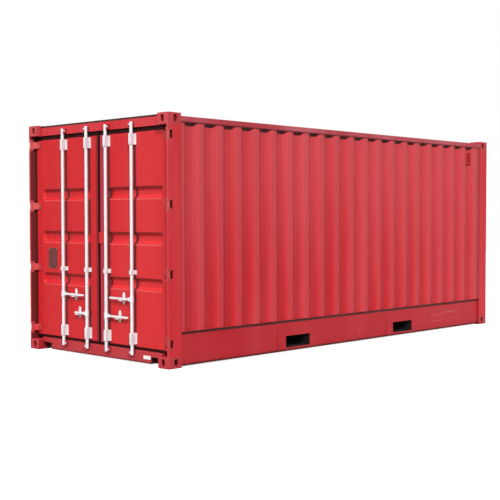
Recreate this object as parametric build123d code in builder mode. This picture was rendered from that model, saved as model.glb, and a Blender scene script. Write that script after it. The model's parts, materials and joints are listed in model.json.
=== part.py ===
from build123d import *

import os

# A twenty-foot steel freight container: a welded frame between eight corner castings,
# corrugated walls and roof, a plywood floor, and two doors with locking bars and handles.
# X runs along the length with the doors at -X, Y across with the left door at +Y, Z up.
# The origin is on the ground under the middle. Lengths are in millimetres, angles in degrees.

os.makedirs("parts", exist_ok=True)

# Whole container
length = 6058.0
width = 2438.0
height = 2591.0
overrun = 5.0

# Corner castings and their apertures
casting_length = 178.0
casting_width = 162.0
casting_height = 118.0
casting_plate = 28.0
casting_face = 24.0
casting_back = 8.0
slot_end_inset = 102.5
slot_side_inset = 89.5
slot_length = 124.5
slot_width = 63.5
hand_hole_width = 51.0
hand_hole_height = 79.5

# Side walls: trapezoid corrugation in plan
wall_inset = 6.0
wall_sheet = 2.0
lead_flat = 40.0
flat_width = 72.0
slope_width = 68.0
recess_width = 70.0
groove_depth = 36.0

# Top side rails and roof
top_rail_width = 60.0
top_rail_height = 60.0
top_rail_wall = 4.0
roof_drop = 11.0
roof_rib_height = 18.0
roof_sheet = 2.0
roof_rib_width = 150.0
roof_rib_gap = 60.0
roof_rib_taper = 45.0
roof_edge = 25.0
roof_rib_edge = 130.0

# Bottom side rails
rail_bottom = 16.0
rail_height = 352.0
rail_web_inset = 30.0
rail_plate = 6.0
rail_flange_margin = 5.0

# Floor, cross members and forklift pockets
floor_top = 228.0
floor_board = 28.0
member_pitch = 300.0
member_height = 122.0
member_flange = 45.0
member_plate = 4.0
member_clearance = 20.0
pocket_spacing = 2050.0
pocket_width = 420.0
pocket_height = 133.0
pocket_plate = 6.0
pocket_strap = 34.0
patch_width = 695.0
patch_rise = 71.0
patch_plate = 6.0

# Door end of the frame
lip_width = 25.0
lip_depth = 139.0
post_inner_width = 49.0
header_setback = 58.0
header_drop = 6.0
sill_bottom = 17.0
sill_top = 143.0
sill_notch_width = 180.0
sill_notch_height = 71.0
sill_notch_depth = 70.0

# Closed front end
front_post_side = 49.0
front_post_end = 69.0
front_wall_setback = 19.0
front_wall_depth = 45.0
front_pitches = 8
front_flat_share = 0.28
front_slope_share = 0.22
front_rail_depth = 90.0
front_rail_setback = 9.0

# Door leaves
door_setback = 75.0
door_thickness = 50.0
door_centre_gap = 44.0
door_edge_gap = 29.0
door_bottom_gap = 32.0
door_top_gap = 48.0
outer_stile = 95.0
inner_stile = 110.0
door_rail = 100.0
panel_sheet = 3.0
band_count = 3
band_pitch = 480.0
band_rise = 10.0
band_height = 110.0
band_slope = 35.0
band_depth = 36.0

# Door gaskets
gasket_thickness = 30.0
gasket_clearance = 7.0
gasket_meeting_gap = 16.0

# Hinges
hinge_inset = 18.0
hinge_count = 4
hinge_end_rise = 75.0
hinge_end_drop = 54.0
barrel_radius = 18.0
pin_radius = 8.0
pin_play = 0.05
blade_height = 76.0
blade_plate = 10.0
strap_length = 80.0
strap_edge = 15.0
lug_height = 28.0
lug_gap = 1.0
hinge_notch_back = 20.0
hinge_slot_back = 44.0
hinge_slot_height = 86.0

# Locking bars with their brackets, cams and keepers
bar_radius = 17.0
bar_setback = 31.0
outer_bar_inset = 560.0
inner_bar_inset = 148.0
bar_foot = 54.0
bar_head = 59.0
bar_play = 0.05
bracket_width = 65.0
bracket_plate = 8.0
bracket_wall = 3.0
saddle_width = 40.0
low_bracket_rise = 84.0
low_bracket_height = 120.0
mid_bracket_rise = 782.0
mid_bracket_height = 45.0
high_bracket_drop = 73.0
high_bracket_height = 118.0
cam_inset = 25.0
cam_height = 16.0
cam_thickness = 18.0
cam_reach = 40.0
keeper_clearance = 5.0
keeper_jaw = 10.0
keeper_plate = 6.0
keeper_reach = 39.0

# Handles, their hubs and catches
outer_handle_rise = 497.0
inner_handle_rise = 299.0
outer_handle_tip_gap = 60.0
inner_handle_tip_gap = 65.0
short_handle_overhang = 41.0
catch_place_share = 0.423
handle_thickness = 10.0
handle_height = 22.0
hub_radius = 22.0
hub_height = 64.0
hub_pin_offset = 40.0
hub_pin_radius = 6.0
cheek_thickness = 8.0
cheek_height = 36.0
cheek_gap = 0.5
catch_width = 46.0
catch_height = 131.0
catch_plate = 6.0
catch_ledge = 10.0
catch_clearance = 5.0
catch_front = 8.0

# Small fittings
data_plate_inset = 222.0
data_plate_width = 162.0
data_plate_rise = 775.0
data_plate_height = 233.0
plate_thickness = 2.0
tab_offset = 5.0
tab_width = 90.0
tab_height = 119.0
tab_thickness = 8.0
tag_inset = 186.0
tag_width = 113.0
tag_rise = 43.0
tag_height = 38.0
vent_drop = 153.0
vent_height = 185.0
vent_width = 150.0
vent_depth = 30.0

# Planes and faces that the pieces share
door_end = -length / 2
front_end = length / 2
side = width / 2
rear_x = door_end + casting_length
front_x = front_end - casting_length
groove_pitch = flat_width + slope_width + recess_width + slope_width
groove_count = int((front_x - rear_x - lead_flat) // groove_pitch)
casting_inner = side - casting_width
post_bottom = casting_height
post_top = height - casting_height
wall_face = side - wall_inset
wall_back = wall_face - groove_depth - wall_sheet
rail_top = rail_bottom + rail_height
web_face = side - rail_web_inset
web_back = web_face - rail_plate
roof_base = height - roof_drop - roof_rib_height - roof_sheet
top_rail_bottom = roof_base - top_rail_height
floor_bottom = floor_top - floor_board
pocket_bottom = rail_bottom + pocket_strap
pocket_top = pocket_bottom + pocket_height
post_inner = side - post_inner_width
lip_inner = side - lip_width
lip_back = door_end + lip_depth
header_face = door_end + header_setback
header_top = height - header_drop
front_wall_face = front_end - front_wall_setback
front_rail_face = front_end - front_rail_setback
front_rail_back = front_rail_face - front_rail_depth
door_face = door_end + door_setback
door_back = door_face + door_thickness
leaf_inner = door_centre_gap / 2
leaf_outer = lip_inner - door_edge_gap
leaf_bottom = sill_top + door_bottom_gap
leaf_top = post_top - door_top_gap
panel_inner = leaf_inner + inner_stile
panel_outer = leaf_outer - outer_stile
panel_bottom = leaf_bottom + door_rail
panel_top = leaf_top - door_rail
band_middle = (leaf_bottom + leaf_top) / 2 + band_rise
hinge_x = door_end + hinge_inset
hinge_y = side - hinge_inset
hinge_first = leaf_bottom + hinge_end_rise
hinge_pitch = (leaf_top - hinge_end_drop - hinge_first) / (hinge_count - 1)
hinge_heights = [hinge_first + hinge_pitch * step for step in range(hinge_count)]
lug_reach = blade_height / 2 + lug_gap + lug_height
bar_x = door_end + bar_setback
bar_bottom = sill_top - bar_foot
bar_top = post_top + bar_head
outer_bar = leaf_outer - outer_bar_inset
inner_bar = leaf_inner + inner_bar_inset
bar_spacing = outer_bar - inner_bar
catch_offset = bar_spacing * catch_place_share
outer_catch = outer_bar - catch_offset
inner_catch = inner_bar + catch_offset
outer_handle_length = bar_spacing - outer_handle_tip_gap
inner_handle_length = bar_spacing - inner_handle_tip_gap
short_handle_length = catch_offset + short_handle_overhang
outer_handle = leaf_bottom + outer_handle_rise
inner_handle = leaf_bottom + inner_handle_rise
low_bracket = leaf_bottom + low_bracket_rise
mid_bracket = leaf_bottom + mid_bracket_rise
high_bracket = leaf_top - high_bracket_drop
top_cam = bar_top - cam_inset
bottom_cam = bar_bottom + cam_inset
handle_root_radius = handle_height / 2
brackets = [
    (low_bracket, low_bracket_height),
    (mid_bracket, mid_bracket_height),
    (high_bracket, high_bracket_height),
]

# Each locking bar by name: its door's side, its distance from the middle, the way its handle
# and cams point along Y, and the height, length and catch of its handle
bars = {
    "left_outer": (1, outer_bar, -1, outer_handle, outer_handle_length, outer_catch),
    "left_inner": (1, inner_bar, 1, inner_handle, short_handle_length, inner_catch),
    "right_inner": (-1, inner_bar, -1, inner_handle, inner_handle_length, inner_catch),
    "right_outer": (-1, outer_bar, 1, outer_handle, outer_handle_length, outer_catch),
}


def save(piece, name):
    """Label a finished piece and write it as its own file."""
    piece.part.label = name
    export_step(piece.part, f"parts/{name}.step")


def block(x, y, z, mode=Mode.ADD):
    """Add or cut a box between two faces on each axis, each pair in any order."""
    middle = tuple((pair[0] + pair[1]) / 2 for pair in (x, y, z))
    sizes = tuple(abs(pair[1] - pair[0]) for pair in (x, y, z))
    with Locations(middle):
        Box(*sizes, mode=mode)


def corrugation(start, end, count, lead, flat, slope, recess):
    """Stations along a sheet that starts and ends flat, as (distance, share of the groove's depth)."""
    at = start + lead
    stations = [(start, 0), (at, 0)]
    for _ in range(count):
        for run, depth_share in ((slope, 1), (recess, 1), (slope, 0), (flat, 0)):
            at = at + run
            stations.append((at, depth_share))
    stations[-1] = (end, 0)
    return stations


def sheet_outline(stations, face, depth, sheet):
    """Closed outline of a sheet whose outer face follows the stations."""
    outer = [(at, face + depth * depth_share) for at, depth_share in stations]
    inner = [(at, level + sheet) for at, level in reversed(outer)]
    return outer + inner


def corner_castings(name, at_top):
    """Four hollow castings with a twistlock slot in the outer plate and two hand holes."""
    up = 1 if at_top else -1
    outer_z = height if at_top else 0
    inner_z = outer_z - up * casting_height
    with BuildPart() as castings:
        for x_way in (-1, 1):
            for y_way in (-1, 1):
                end_x = x_way * length / 2
                end_y = y_way * side
                back_x = end_x - x_way * casting_length
                back_y = end_y - y_way * casting_width
                block((end_x, back_x), (end_y, back_y), (outer_z, inner_z))
                block(
                    (end_x - x_way * casting_face, back_x + x_way * casting_back),
                    (end_y - y_way * casting_face, back_y + y_way * casting_back),
                    (outer_z - up * casting_plate, inner_z + up * casting_back),
                    Mode.SUBTRACT,
                )
                slot_x = end_x - x_way * slot_end_inset
                slot_y = end_y - y_way * slot_side_inset
                hole_z = (outer_z + inner_z) / 2
                with BuildSketch(Plane.XY.offset(outer_z)):
                    with Locations((slot_x, slot_y)):
                        SlotOverall(slot_length, slot_width)
                extrude(amount=-up * (casting_plate + overrun), mode=Mode.SUBTRACT)
                with BuildSketch(Plane.YZ.offset(end_x)):
                    with Locations((slot_y, hole_z)):
                        SlotOverall(hand_hole_height, hand_hole_width, rotation=90)
                extrude(amount=-x_way * (casting_face + overrun), mode=Mode.SUBTRACT)
                with BuildSketch(Plane.XZ.offset(-end_y)):
                    with Locations((slot_x, hole_z)):
                        SlotOverall(hand_hole_height, hand_hole_width, rotation=90)
                extrude(amount=y_way * (casting_face + overrun), mode=Mode.SUBTRACT)
    save(castings, name)


def rear_post(name, way):
    """Door post: a body behind the leaf and a thin lip beside it, cut away at each hinge."""
    with BuildPart() as post:
        block((door_end, lip_back), (way * lip_inner, way * side), (post_bottom, post_top))
        block((lip_back, rear_x), (way * post_inner, way * side), (post_bottom, post_top))
        for hinge_z in hinge_heights:
            block(
                (door_end - overrun, hinge_x + hinge_notch_back),
                (way * (lip_inner - overrun), way * (side + overrun)),
                (hinge_z - lug_reach, hinge_z + lug_reach),
                Mode.SUBTRACT,
            )
            block(
                (door_end - overrun, hinge_x + hinge_slot_back),
                (way * (lip_inner - overrun), way * (side + overrun)),
                (hinge_z - hinge_slot_height / 2, hinge_z + hinge_slot_height / 2),
                Mode.SUBTRACT,
            )
    save(post, name)


def front_post(name, way):
    """Corner post at the closed end: a side leg and an end leg in one angle."""
    with BuildPart() as post:
        block((front_x, front_end), (way * (side - front_post_side), way * side), (post_bottom, post_top))
        end_back = front_end - front_post_end
        block((end_back, front_end), (way * casting_inner, way * side), (post_bottom, post_top))
    save(post, name)


def top_side_rail(name, way):
    """Square tube along the top of a side wall."""
    top = roof_base
    inner = side - top_rail_width
    with BuildPart() as rail:
        block((rear_x, front_x), (way * inner, way * side), (top_rail_bottom, top))
        block(
            (rear_x - overrun, front_x + overrun),
            (way * (inner + top_rail_wall), way * (side - top_rail_wall)),
            (top_rail_bottom + top_rail_wall, top - top_rail_wall),
            Mode.SUBTRACT,
        )
    save(rail, name)


def bottom_side_rail(name, way):
    """Deep channel rail with its web set back, two flanges and a patch round each pocket."""
    with BuildPart() as rail:
        block((rear_x, front_x), (way * web_back, way * web_face), (rail_bottom, rail_top))
        block(
            (rear_x, front_x),
            (way * (wall_back - rail_flange_margin), way * wall_face),
            (rail_top - rail_plate, rail_top),
        )
        block((rear_x, front_x), (way * web_back, way * wall_face), (rail_bottom, rail_bottom + rail_plate))
        for pocket_way in (-1, 1):
            pocket_x = pocket_way * pocket_spacing / 2
            block(
                (pocket_x - patch_width / 2, pocket_x + patch_width / 2),
                (way * web_face, way * (web_face + patch_plate)),
                (rail_bottom + rail_plate, pocket_top + patch_rise),
            )
            block(
                (pocket_x - pocket_width / 2, pocket_x + pocket_width / 2),
                (way * (web_back - overrun), way * side),
                (pocket_bottom, pocket_top),
                Mode.SUBTRACT,
            )
    save(rail, name)


def side_wall(name, way):
    """Corrugated side sheet between the posts and between the rails."""
    stations = corrugation(
        rear_x, front_x, groove_count, lead_flat, flat_width, slope_width, recess_width
    )
    outline = sheet_outline(stations, -wall_face, groove_depth, wall_sheet)
    with BuildPart() as wall:
        with BuildSketch(Plane.XY.offset(rail_top)):
            with BuildLine():
                Polyline([(x, -way * y) for x, y in outline], close=True)
            make_face()
        extrude(amount=top_rail_bottom - rail_top)
    save(wall, name)


def leaf_frame(name, way):
    """Welded ring of two stiles and two rails round a door panel."""
    with BuildPart() as frame:
        block((door_face, door_back), (way * leaf_inner, way * leaf_outer), (leaf_bottom, leaf_top))
        block(
            (door_face - overrun, door_back + overrun),
            (way * panel_inner, way * panel_outer),
            (panel_bottom, panel_top),
            Mode.SUBTRACT,
        )
    save(frame, name)


def leaf_panel(name, way):
    """Door sheet with pressed horizontal bands, closed at its ends by the stiles."""
    stations = [(panel_bottom, 0)]
    for step in range(band_count):
        middle = band_middle + band_pitch * (step - (band_count - 1) / 2)
        low = middle - band_height / 2
        high = middle + band_height / 2
        stations += [(low, 0), (low + band_slope, 1), (high - band_slope, 1), (high, 0)]
    stations.append((panel_top, 0))
    outline = sheet_outline(stations, door_face, band_depth, panel_sheet)
    start = max(way * panel_inner, way * panel_outer)
    with BuildPart() as panel:
        with BuildSketch(Plane.XZ.offset(-start)):
            with BuildLine():
                Polyline([(x, z) for z, x in outline], close=True)
            make_face()
        extrude(amount=panel_outer - panel_inner)
    save(panel, name)


def leaf_gasket(name, way):
    """Rubber seal round a leaf, set in the middle of its thickness."""
    middle = (door_face + door_back) / 2
    front = middle - gasket_thickness / 2
    back = middle + gasket_thickness / 2
    with BuildPart() as gasket:
        block(
            (front, back),
            (way * gasket_meeting_gap / 2, way * (lip_inner - gasket_clearance)),
            (sill_top + gasket_clearance, post_top - gasket_clearance),
        )
        block(
            (front - overrun, back + overrun),
            (way * leaf_inner, way * leaf_outer),
            (leaf_bottom, leaf_top),
            Mode.SUBTRACT,
        )
    save(gasket, name)


def leaf_hinges(name, way):
    """Hinge blades of one leaf: a strap on the face, cranked out to a barrel on the axis."""
    strap_front = door_face - blade_plate
    tail = leaf_outer - strap_length
    crank = leaf_outer - strap_edge
    strap = [
        (door_face, tail),
        (door_face, crank),
        (hinge_x + blade_plate, hinge_y),
        (hinge_x, hinge_y),
        (hinge_x, hinge_y - blade_plate),
        (strap_front, crank - blade_plate),
        (strap_front, tail),
    ]
    with BuildPart() as hinges:
        for hinge_z in hinge_heights:
            bottom = hinge_z - blade_height / 2
            with BuildSketch(Plane.XY.offset(bottom)):
                with BuildLine():
                    Polyline([(x, way * y) for x, y in strap], close=True)
                make_face()
                with Locations((hinge_x, way * hinge_y)):
                    Circle(barrel_radius)
                    Circle(pin_radius + pin_play, mode=Mode.SUBTRACT)
            extrude(amount=blade_height)
    save(hinges, name)


def hinge_pins(name):
    """Pins with a square lug above and below each blade, flush with the door posts."""
    with BuildPart() as pins:
        for way in (-1, 1):
            for hinge_z in hinge_heights:
                lug_base = blade_height / 2 + lug_gap
                for up in (-1, 1):
                    block(
                        (door_end, hinge_x + hinge_notch_back),
                        (way * (hinge_y - barrel_radius), way * side),
                        (hinge_z + up * lug_base, hinge_z + up * lug_reach),
                    )
                with Locations((hinge_x, way * hinge_y, hinge_z)):
                    Cylinder(pin_radius, 2 * lug_reach)
    save(pins, name)


def bar_brackets(name, way):
    """Bearing brackets of the two locking bars of one leaf: a foot plate and a bored saddle."""
    saddle_front = bar_x - bar_radius - bracket_wall
    with BuildPart() as brackets_part:
        for bar_y in (way * inner_bar, way * outer_bar):
            for middle, tall in brackets:
                z = (middle - tall / 2, middle + tall / 2)
                foot = (bar_y - bracket_width / 2, bar_y + bracket_width / 2)
                saddle = (bar_y - saddle_width / 2, bar_y + saddle_width / 2)
                block((door_face - bracket_plate, door_face), foot, z)
                block((saddle_front, door_face), saddle, z)
                with Locations((bar_x, bar_y, middle)):
                    Cylinder(bar_radius + bar_play, tall + overrun, mode=Mode.SUBTRACT)
    save(brackets_part, name)


def handle_catches(name, way):
    """Catch plates on one leaf, each with a ledge that its handle rests over."""
    ledge_front = bar_x - handle_thickness / 2 - catch_front
    with BuildPart() as catches:
        for bar_way, _, _, handle_z, _, catch in bars.values():
            if bar_way == way:
                y = (way * catch - catch_width / 2, way * catch + catch_width / 2)
                ledge_top = handle_z - handle_height / 2 - catch_clearance
                block(
                    (door_face - catch_plate, door_face),
                    y,
                    (handle_z - catch_height / 2, handle_z + catch_height / 2),
                )
                block((ledge_front, door_face), y, (ledge_top - catch_ledge, ledge_top))
    save(catches, name)


def locking_bar(name, way, offset, point, handle_z):
    """Round bar with a cam finger at each end and a hub whose two cheeks carry the handle pin."""
    bar_y = way * offset
    cheek_inner = handle_thickness / 2 + cheek_gap
    cheek_outer = cheek_inner + cheek_thickness
    pin_y = bar_y + point * hub_pin_offset
    with BuildPart() as bar:
        with Locations((bar_x, bar_y, (bar_bottom + bar_top) / 2)):
            Cylinder(bar_radius, bar_top - bar_bottom)
        for cam_z in (bottom_cam, top_cam):
            block(
                (bar_x - cam_thickness / 2, bar_x + cam_thickness / 2),
                (bar_y, bar_y + point * cam_reach),
                (cam_z - cam_height / 2, cam_z + cam_height / 2),
            )
        with Locations((bar_x, bar_y, handle_z)):
            Cylinder(hub_radius, hub_height)
        for cheek_way in (-1, 1):
            block(
                (bar_x + cheek_way * cheek_inner, bar_x + cheek_way * cheek_outer),
                (bar_y, pin_y + point * handle_root_radius),
                (handle_z - cheek_height / 2, handle_z + cheek_height / 2),
            )
        with Locations(Location((bar_x, pin_y, handle_z), (0, 90, 0))):
            Cylinder(hub_pin_radius, 2 * cheek_outer)
    save(bar, name)


def handle(name, way, offset, point, handle_z, reach):
    """Flat swinging handle with a round root bored for the hub's pin and a round tip."""
    bar_y = way * offset
    pin_y = bar_y + point * hub_pin_offset
    tip_y = bar_y + point * (reach - handle_root_radius)
    with BuildPart() as grip:
        with BuildSketch(Plane.YZ.offset(bar_x - handle_thickness / 2)):
            with Locations((pin_y, handle_z)):
                Circle(handle_root_radius)
            with Locations(((pin_y + tip_y) / 2, handle_z)):
                Rectangle(abs(tip_y - pin_y), handle_height)
            with Locations((tip_y, handle_z)):
                Circle(handle_root_radius)
            with Locations((pin_y, handle_z)):
                Circle(hub_pin_radius + pin_play, mode=Mode.SUBTRACT)
        extrude(amount=handle_thickness)
    save(grip, name)


def cam_keepers(name):
    """Keepers on the header and sill: a back plate with a jaw above and below each cam."""
    jaw_inner = cam_height / 2 + keeper_clearance
    jaw_outer = jaw_inner + keeper_jaw
    with BuildPart() as keepers:
        for way, offset, point, _, _, _ in bars.values():
            near = way * offset + point * (hub_radius + keeper_clearance)
            far = way * offset + point * (cam_reach + keeper_clearance)
            for cam_z in (bottom_cam, top_cam):
                tall = (cam_z - jaw_outer, cam_z + jaw_outer)
                block((header_face - keeper_plate, header_face), (near, far), tall)
                for up in (-1, 1):
                    block(
                        (header_face - keeper_reach, header_face),
                        (near, far),
                        (cam_z + up * jaw_inner, cam_z + up * jaw_outer),
                    )
    save(keepers, name)


# Frame between the castings
corner_castings("bottom_corner_castings", False)
corner_castings("top_corner_castings", True)
for side_name, side_way in (("left", 1), ("right", -1)):
    rear_post(f"{side_name}_rear_post", side_way)
    front_post(f"{side_name}_front_post", side_way)
    top_side_rail(f"{side_name}_top_rail", side_way)
    bottom_side_rail(f"{side_name}_bottom_rail", side_way)
    side_wall(f"{side_name}_wall", side_way)

# Door header and sill, with the sill's threshold behind the leaves
with BuildPart() as door_header:
    block((header_face, rear_x), (-casting_inner, casting_inner), (post_top, header_top))
save(door_header, "door_header")

with BuildPart() as door_sill:
    block((header_face, rear_x), (-casting_inner, casting_inner), (sill_bottom, sill_top))
    block((lip_back, rear_x), (-post_inner, post_inner), (sill_top, floor_top))
    for notch_way in (-1, 1):
        block(
            (header_face - overrun, header_face + sill_notch_depth),
            (notch_way * (casting_inner - sill_notch_width), notch_way * (casting_inner + overrun)),
            (sill_bottom - overrun, sill_bottom + sill_notch_height),
            Mode.SUBTRACT,
        )
save(door_sill, "door_sill")

# Front rails and the corrugated front wall
with BuildPart() as front_top_rail:
    block((front_rail_back, front_rail_face), (-casting_inner, casting_inner), (post_top, header_top))
save(front_top_rail, "front_top_rail")

with BuildPart() as front_bottom_rail:
    block((front_rail_back, front_rail_face), (-casting_inner, casting_inner), (sill_bottom, floor_top))
save(front_bottom_rail, "front_bottom_rail")

front_pitch = 2 * casting_inner / (front_pitches + front_flat_share)
front_flat = front_pitch * front_flat_share
front_slope = front_pitch * front_slope_share
front_stations = corrugation(
    -casting_inner, casting_inner, front_pitches, front_flat, front_flat, front_slope, front_flat
)
front_outline = sheet_outline(front_stations, -front_wall_face, front_wall_depth, wall_sheet)
with BuildPart() as front_wall:
    with BuildSketch(Plane.XY.offset(floor_top)):
        with BuildLine():
            Polyline([(-x, y) for y, x in front_outline], close=True)
        make_face()
    extrude(amount=post_top - floor_top)
save(front_wall, "front_wall")

# Roof sheet with pressed cross ribs that are hollow underneath
roof_half = side - roof_edge
roof_rib_pitch = roof_rib_width + roof_rib_gap
roof_rib_count = int((front_x - rear_x - roof_rib_gap) // roof_rib_pitch)
roof_rib_length = 2 * (roof_half - roof_rib_edge)
with BuildPart() as roof:
    block((rear_x, front_x), (-roof_half, roof_half), (roof_base, roof_base + roof_sheet))
    block((front_x, front_rail_back), (-casting_inner, casting_inner), (roof_base, roof_base + roof_sheet))
    with BuildSketch(Plane.XY.offset(roof_base + roof_sheet)):
        with GridLocations(roof_rib_pitch, 0, roof_rib_count, 1):
            Rectangle(roof_rib_width, roof_rib_length)
    extrude(amount=roof_rib_height, taper=roof_rib_taper)
    with BuildSketch(Plane.XY.offset(roof_base)):
        with GridLocations(roof_rib_pitch, 0, roof_rib_count, 1):
            Rectangle(roof_rib_width, roof_rib_length)
    extrude(amount=roof_rib_height, taper=roof_rib_taper, mode=Mode.SUBTRACT)
save(roof, "roof")

# Plywood floor, the channels under it and the forklift tunnels
with BuildPart() as floor:
    block((rear_x, front_rail_back), (-post_inner, post_inner), (floor_bottom, floor_top))
save(floor, "floor")

member_count = int((front_x - rear_x - member_flange) // member_pitch)
member_keep_off = pocket_width / 2 + pocket_plate + member_flange + member_clearance
with BuildPart() as cross_members:
    for step in range(member_count + 1):
        member_x = member_pitch * (step - member_count / 2)
        if abs(abs(member_x) - pocket_spacing / 2) > member_keep_off:
            low = floor_bottom - member_height
            edges = (member_x - member_flange / 2, member_x + member_flange / 2)
            block(edges, (-web_back, web_back), (low, floor_bottom))
            block(
                (edges[0] + member_plate, edges[1] + overrun),
                (-web_back - overrun, web_back + overrun),
                (low + member_plate, floor_bottom - member_plate),
                Mode.SUBTRACT,
            )
save(cross_members, "cross_members")

tunnel_low = pocket_bottom - pocket_plate
tunnel_high = pocket_top + pocket_plate
with BuildPart() as fork_tunnel_sides:
    for pocket_way in (-1, 1):
        for edge_way in (-1, 1):
            edge_x = pocket_way * pocket_spacing / 2 + edge_way * pocket_width / 2
            block(
                (edge_x, edge_x + edge_way * pocket_plate),
                (-web_back, web_back),
                (tunnel_low, tunnel_high),
            )
save(fork_tunnel_sides, "fork_tunnel_sides")

with BuildPart() as fork_tunnel_covers:
    for pocket_way in (-1, 1):
        pocket_x = pocket_way * pocket_spacing / 2
        for cover in ((tunnel_low, pocket_bottom), (pocket_top, tunnel_high)):
            block(
                (pocket_x - pocket_width / 2, pocket_x + pocket_width / 2),
                (-web_back, web_back),
                cover,
            )
save(fork_tunnel_covers, "fork_tunnel_covers")

# Hinge pins and cam keepers, fixed to the frame
hinge_pins("hinge_pins")
cam_keepers("cam_keepers")

# Ventilator boxes, one in the last groove of each side wall
vent_x = rear_x + lead_flat + groove_pitch * (groove_count - 1) + slope_width + recess_width / 2
vent_base = wall_face - groove_depth
with BuildPart() as ventilators:
    for vent_way in (-1, 1):
        with BuildSketch(Plane.XY.offset(top_rail_bottom - vent_drop - vent_height / 2)):
            with BuildLine():
                Polyline(
                    [
                        (vent_x - recess_width / 2, vent_way * vent_base),
                        (vent_x + recess_width / 2, vent_way * vent_base),
                        (vent_x + vent_width / 2, vent_way * (vent_base + vent_depth)),
                        (vent_x - vent_width / 2, vent_way * (vent_base + vent_depth)),
                    ],
                    close=True,
                )
            make_face()
        extrude(amount=vent_height)
save(ventilators, "ventilators")

# Bare tag plate on the sill
with BuildPart() as sill_tag:
    tag_outer = tag_inset - casting_inner
    tag_bottom = sill_bottom + tag_rise
    block(
        (header_face - plate_thickness, header_face),
        (tag_outer, tag_outer + tag_width),
        (tag_bottom, tag_bottom + tag_height),
    )
save(sill_tag, "sill_tag")

# Door leaves
for side_name, side_way in (("left", 1), ("right", -1)):
    leaf_frame(f"{side_name}_door_frame", side_way)
    leaf_panel(f"{side_name}_door_panel", side_way)
    leaf_gasket(f"{side_name}_door_gasket", side_way)
    leaf_hinges(f"{side_name}_door_hinges", side_way)
    bar_brackets(f"{side_name}_bar_brackets", side_way)
    handle_catches(f"{side_name}_handle_catches", side_way)

# Bare data plate on the left leaf and closing tab on the right leaf
data_plate_outer = leaf_outer - data_plate_inset
data_plate_bottom = leaf_bottom + data_plate_rise
with BuildPart() as data_plate:
    block(
        (door_face - plate_thickness, door_face),
        (data_plate_outer - data_plate_width, data_plate_outer),
        (data_plate_bottom, data_plate_bottom + data_plate_height),
    )
save(data_plate, "data_plate")

with BuildPart() as closing_tab:
    block(
        (door_face - tab_thickness, door_face),
        (-tab_offset - tab_width, -tab_offset),
        (band_middle - tab_height / 2, band_middle + tab_height / 2),
    )
save(closing_tab, "closing_tab")

# Locking bars and their handles
for bar_name, (bar_way, bar_offset, bar_point, bar_handle, bar_reach, _) in bars.items():
    locking_bar(f"{bar_name}_bar", bar_way, bar_offset, bar_point, bar_handle)
    handle(f"{bar_name}_handle", bar_way, bar_offset, bar_point, bar_handle, bar_reach)
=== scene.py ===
# %% [markdown]
# # A twenty-foot freight container
# The container is a welded steel box: eight cast corners, posts and rails between them, thin
# corrugated sheet for walls and roof, and two heavy doors with locking bars. The frame that is
# loaded here already has every piece at its real size, so this lesson only dresses it: thin sheet
# gets rounded bends and small dents, joints get weld beads and bolts, and every surface gets a
# weathered finish. All lengths are metres.

# %% Load the frame
import json
import math
from typing import NamedTuple

import bmesh
import bpy
import numpy as np
from mathutils import Matrix, Vector


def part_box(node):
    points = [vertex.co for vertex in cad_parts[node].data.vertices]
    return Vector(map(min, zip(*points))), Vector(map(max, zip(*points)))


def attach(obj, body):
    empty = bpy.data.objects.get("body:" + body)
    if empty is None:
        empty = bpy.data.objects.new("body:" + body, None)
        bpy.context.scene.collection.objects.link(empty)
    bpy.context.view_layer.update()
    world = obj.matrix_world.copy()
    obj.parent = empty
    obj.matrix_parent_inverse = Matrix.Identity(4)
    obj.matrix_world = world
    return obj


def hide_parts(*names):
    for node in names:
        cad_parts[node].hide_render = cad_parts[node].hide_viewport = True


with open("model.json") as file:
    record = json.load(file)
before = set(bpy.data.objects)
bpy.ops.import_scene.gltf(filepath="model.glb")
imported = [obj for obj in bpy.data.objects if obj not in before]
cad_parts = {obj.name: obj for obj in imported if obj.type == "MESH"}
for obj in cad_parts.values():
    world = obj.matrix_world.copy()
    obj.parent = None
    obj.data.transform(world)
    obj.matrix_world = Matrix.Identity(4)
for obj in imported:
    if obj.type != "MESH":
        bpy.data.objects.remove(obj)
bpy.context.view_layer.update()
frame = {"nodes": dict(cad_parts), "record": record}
record = frame["record"]
SIDES = {"left": 1, "right": -1}


def box_corners(node):
    """Lowest and highest corner of a node as two arrays."""
    low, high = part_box(node)
    return np.array(low), np.array(high)


# %% [markdown]
# ## Turning arrays into meshes
# A surface here is a grid of points: a numpy array with rows along one parameter and columns
# along the other. Typing faces one by one would be slow and easy to get wrong, so one function
# numbers all the quads of a grid at once, and one function hands whole arrays to Blender. A closed
# surface has a volume, and the sign of that volume tells whether its faces point outwards.


# %% Grids, closed sheets and tubes
def grid_quads(index):
    """Quads of a grid of point numbers: each point with its right, diagonal and lower neighbour."""
    here, right = index[..., :-1, :-1], index[..., :-1, 1:]
    diagonal, lower = index[..., 1:, 1:], index[..., 1:, :-1]
    return np.stack([here, right, diagonal, lower], axis=-1).reshape(-1, 4)


def closed_sheet(outer, inner):
    """Points and quads of a thin sheet: an outer grid, an inner grid turned over, and a rim."""
    rows, columns = outer.shape[:2]
    shift = rows * columns
    index = np.arange(shift).reshape(rows, columns)
    loop = np.concatenate([index[0, :-1], index[:-1, -1], index[-1, :0:-1], index[:0:-1, 0]])
    ahead = np.roll(loop, -1)
    rim = np.stack([ahead, loop, loop + shift, ahead + shift], axis=1)
    quads = np.concatenate([grid_quads(index), grid_quads(index + shift)[:, ::-1], rim])
    return np.concatenate([outer.reshape(-1, 3), inner.reshape(-1, 3)]), quads


def tubes(rings):
    """Points and quads of tubes from an array (tube, ring, point on ring, xyz), rings closed."""
    index = np.arange(rings[..., 0].size).reshape(rings.shape[:3])
    return rings.reshape(-1, 3), grid_quads(np.concatenate([index, index[..., :1]], axis=2))


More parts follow.
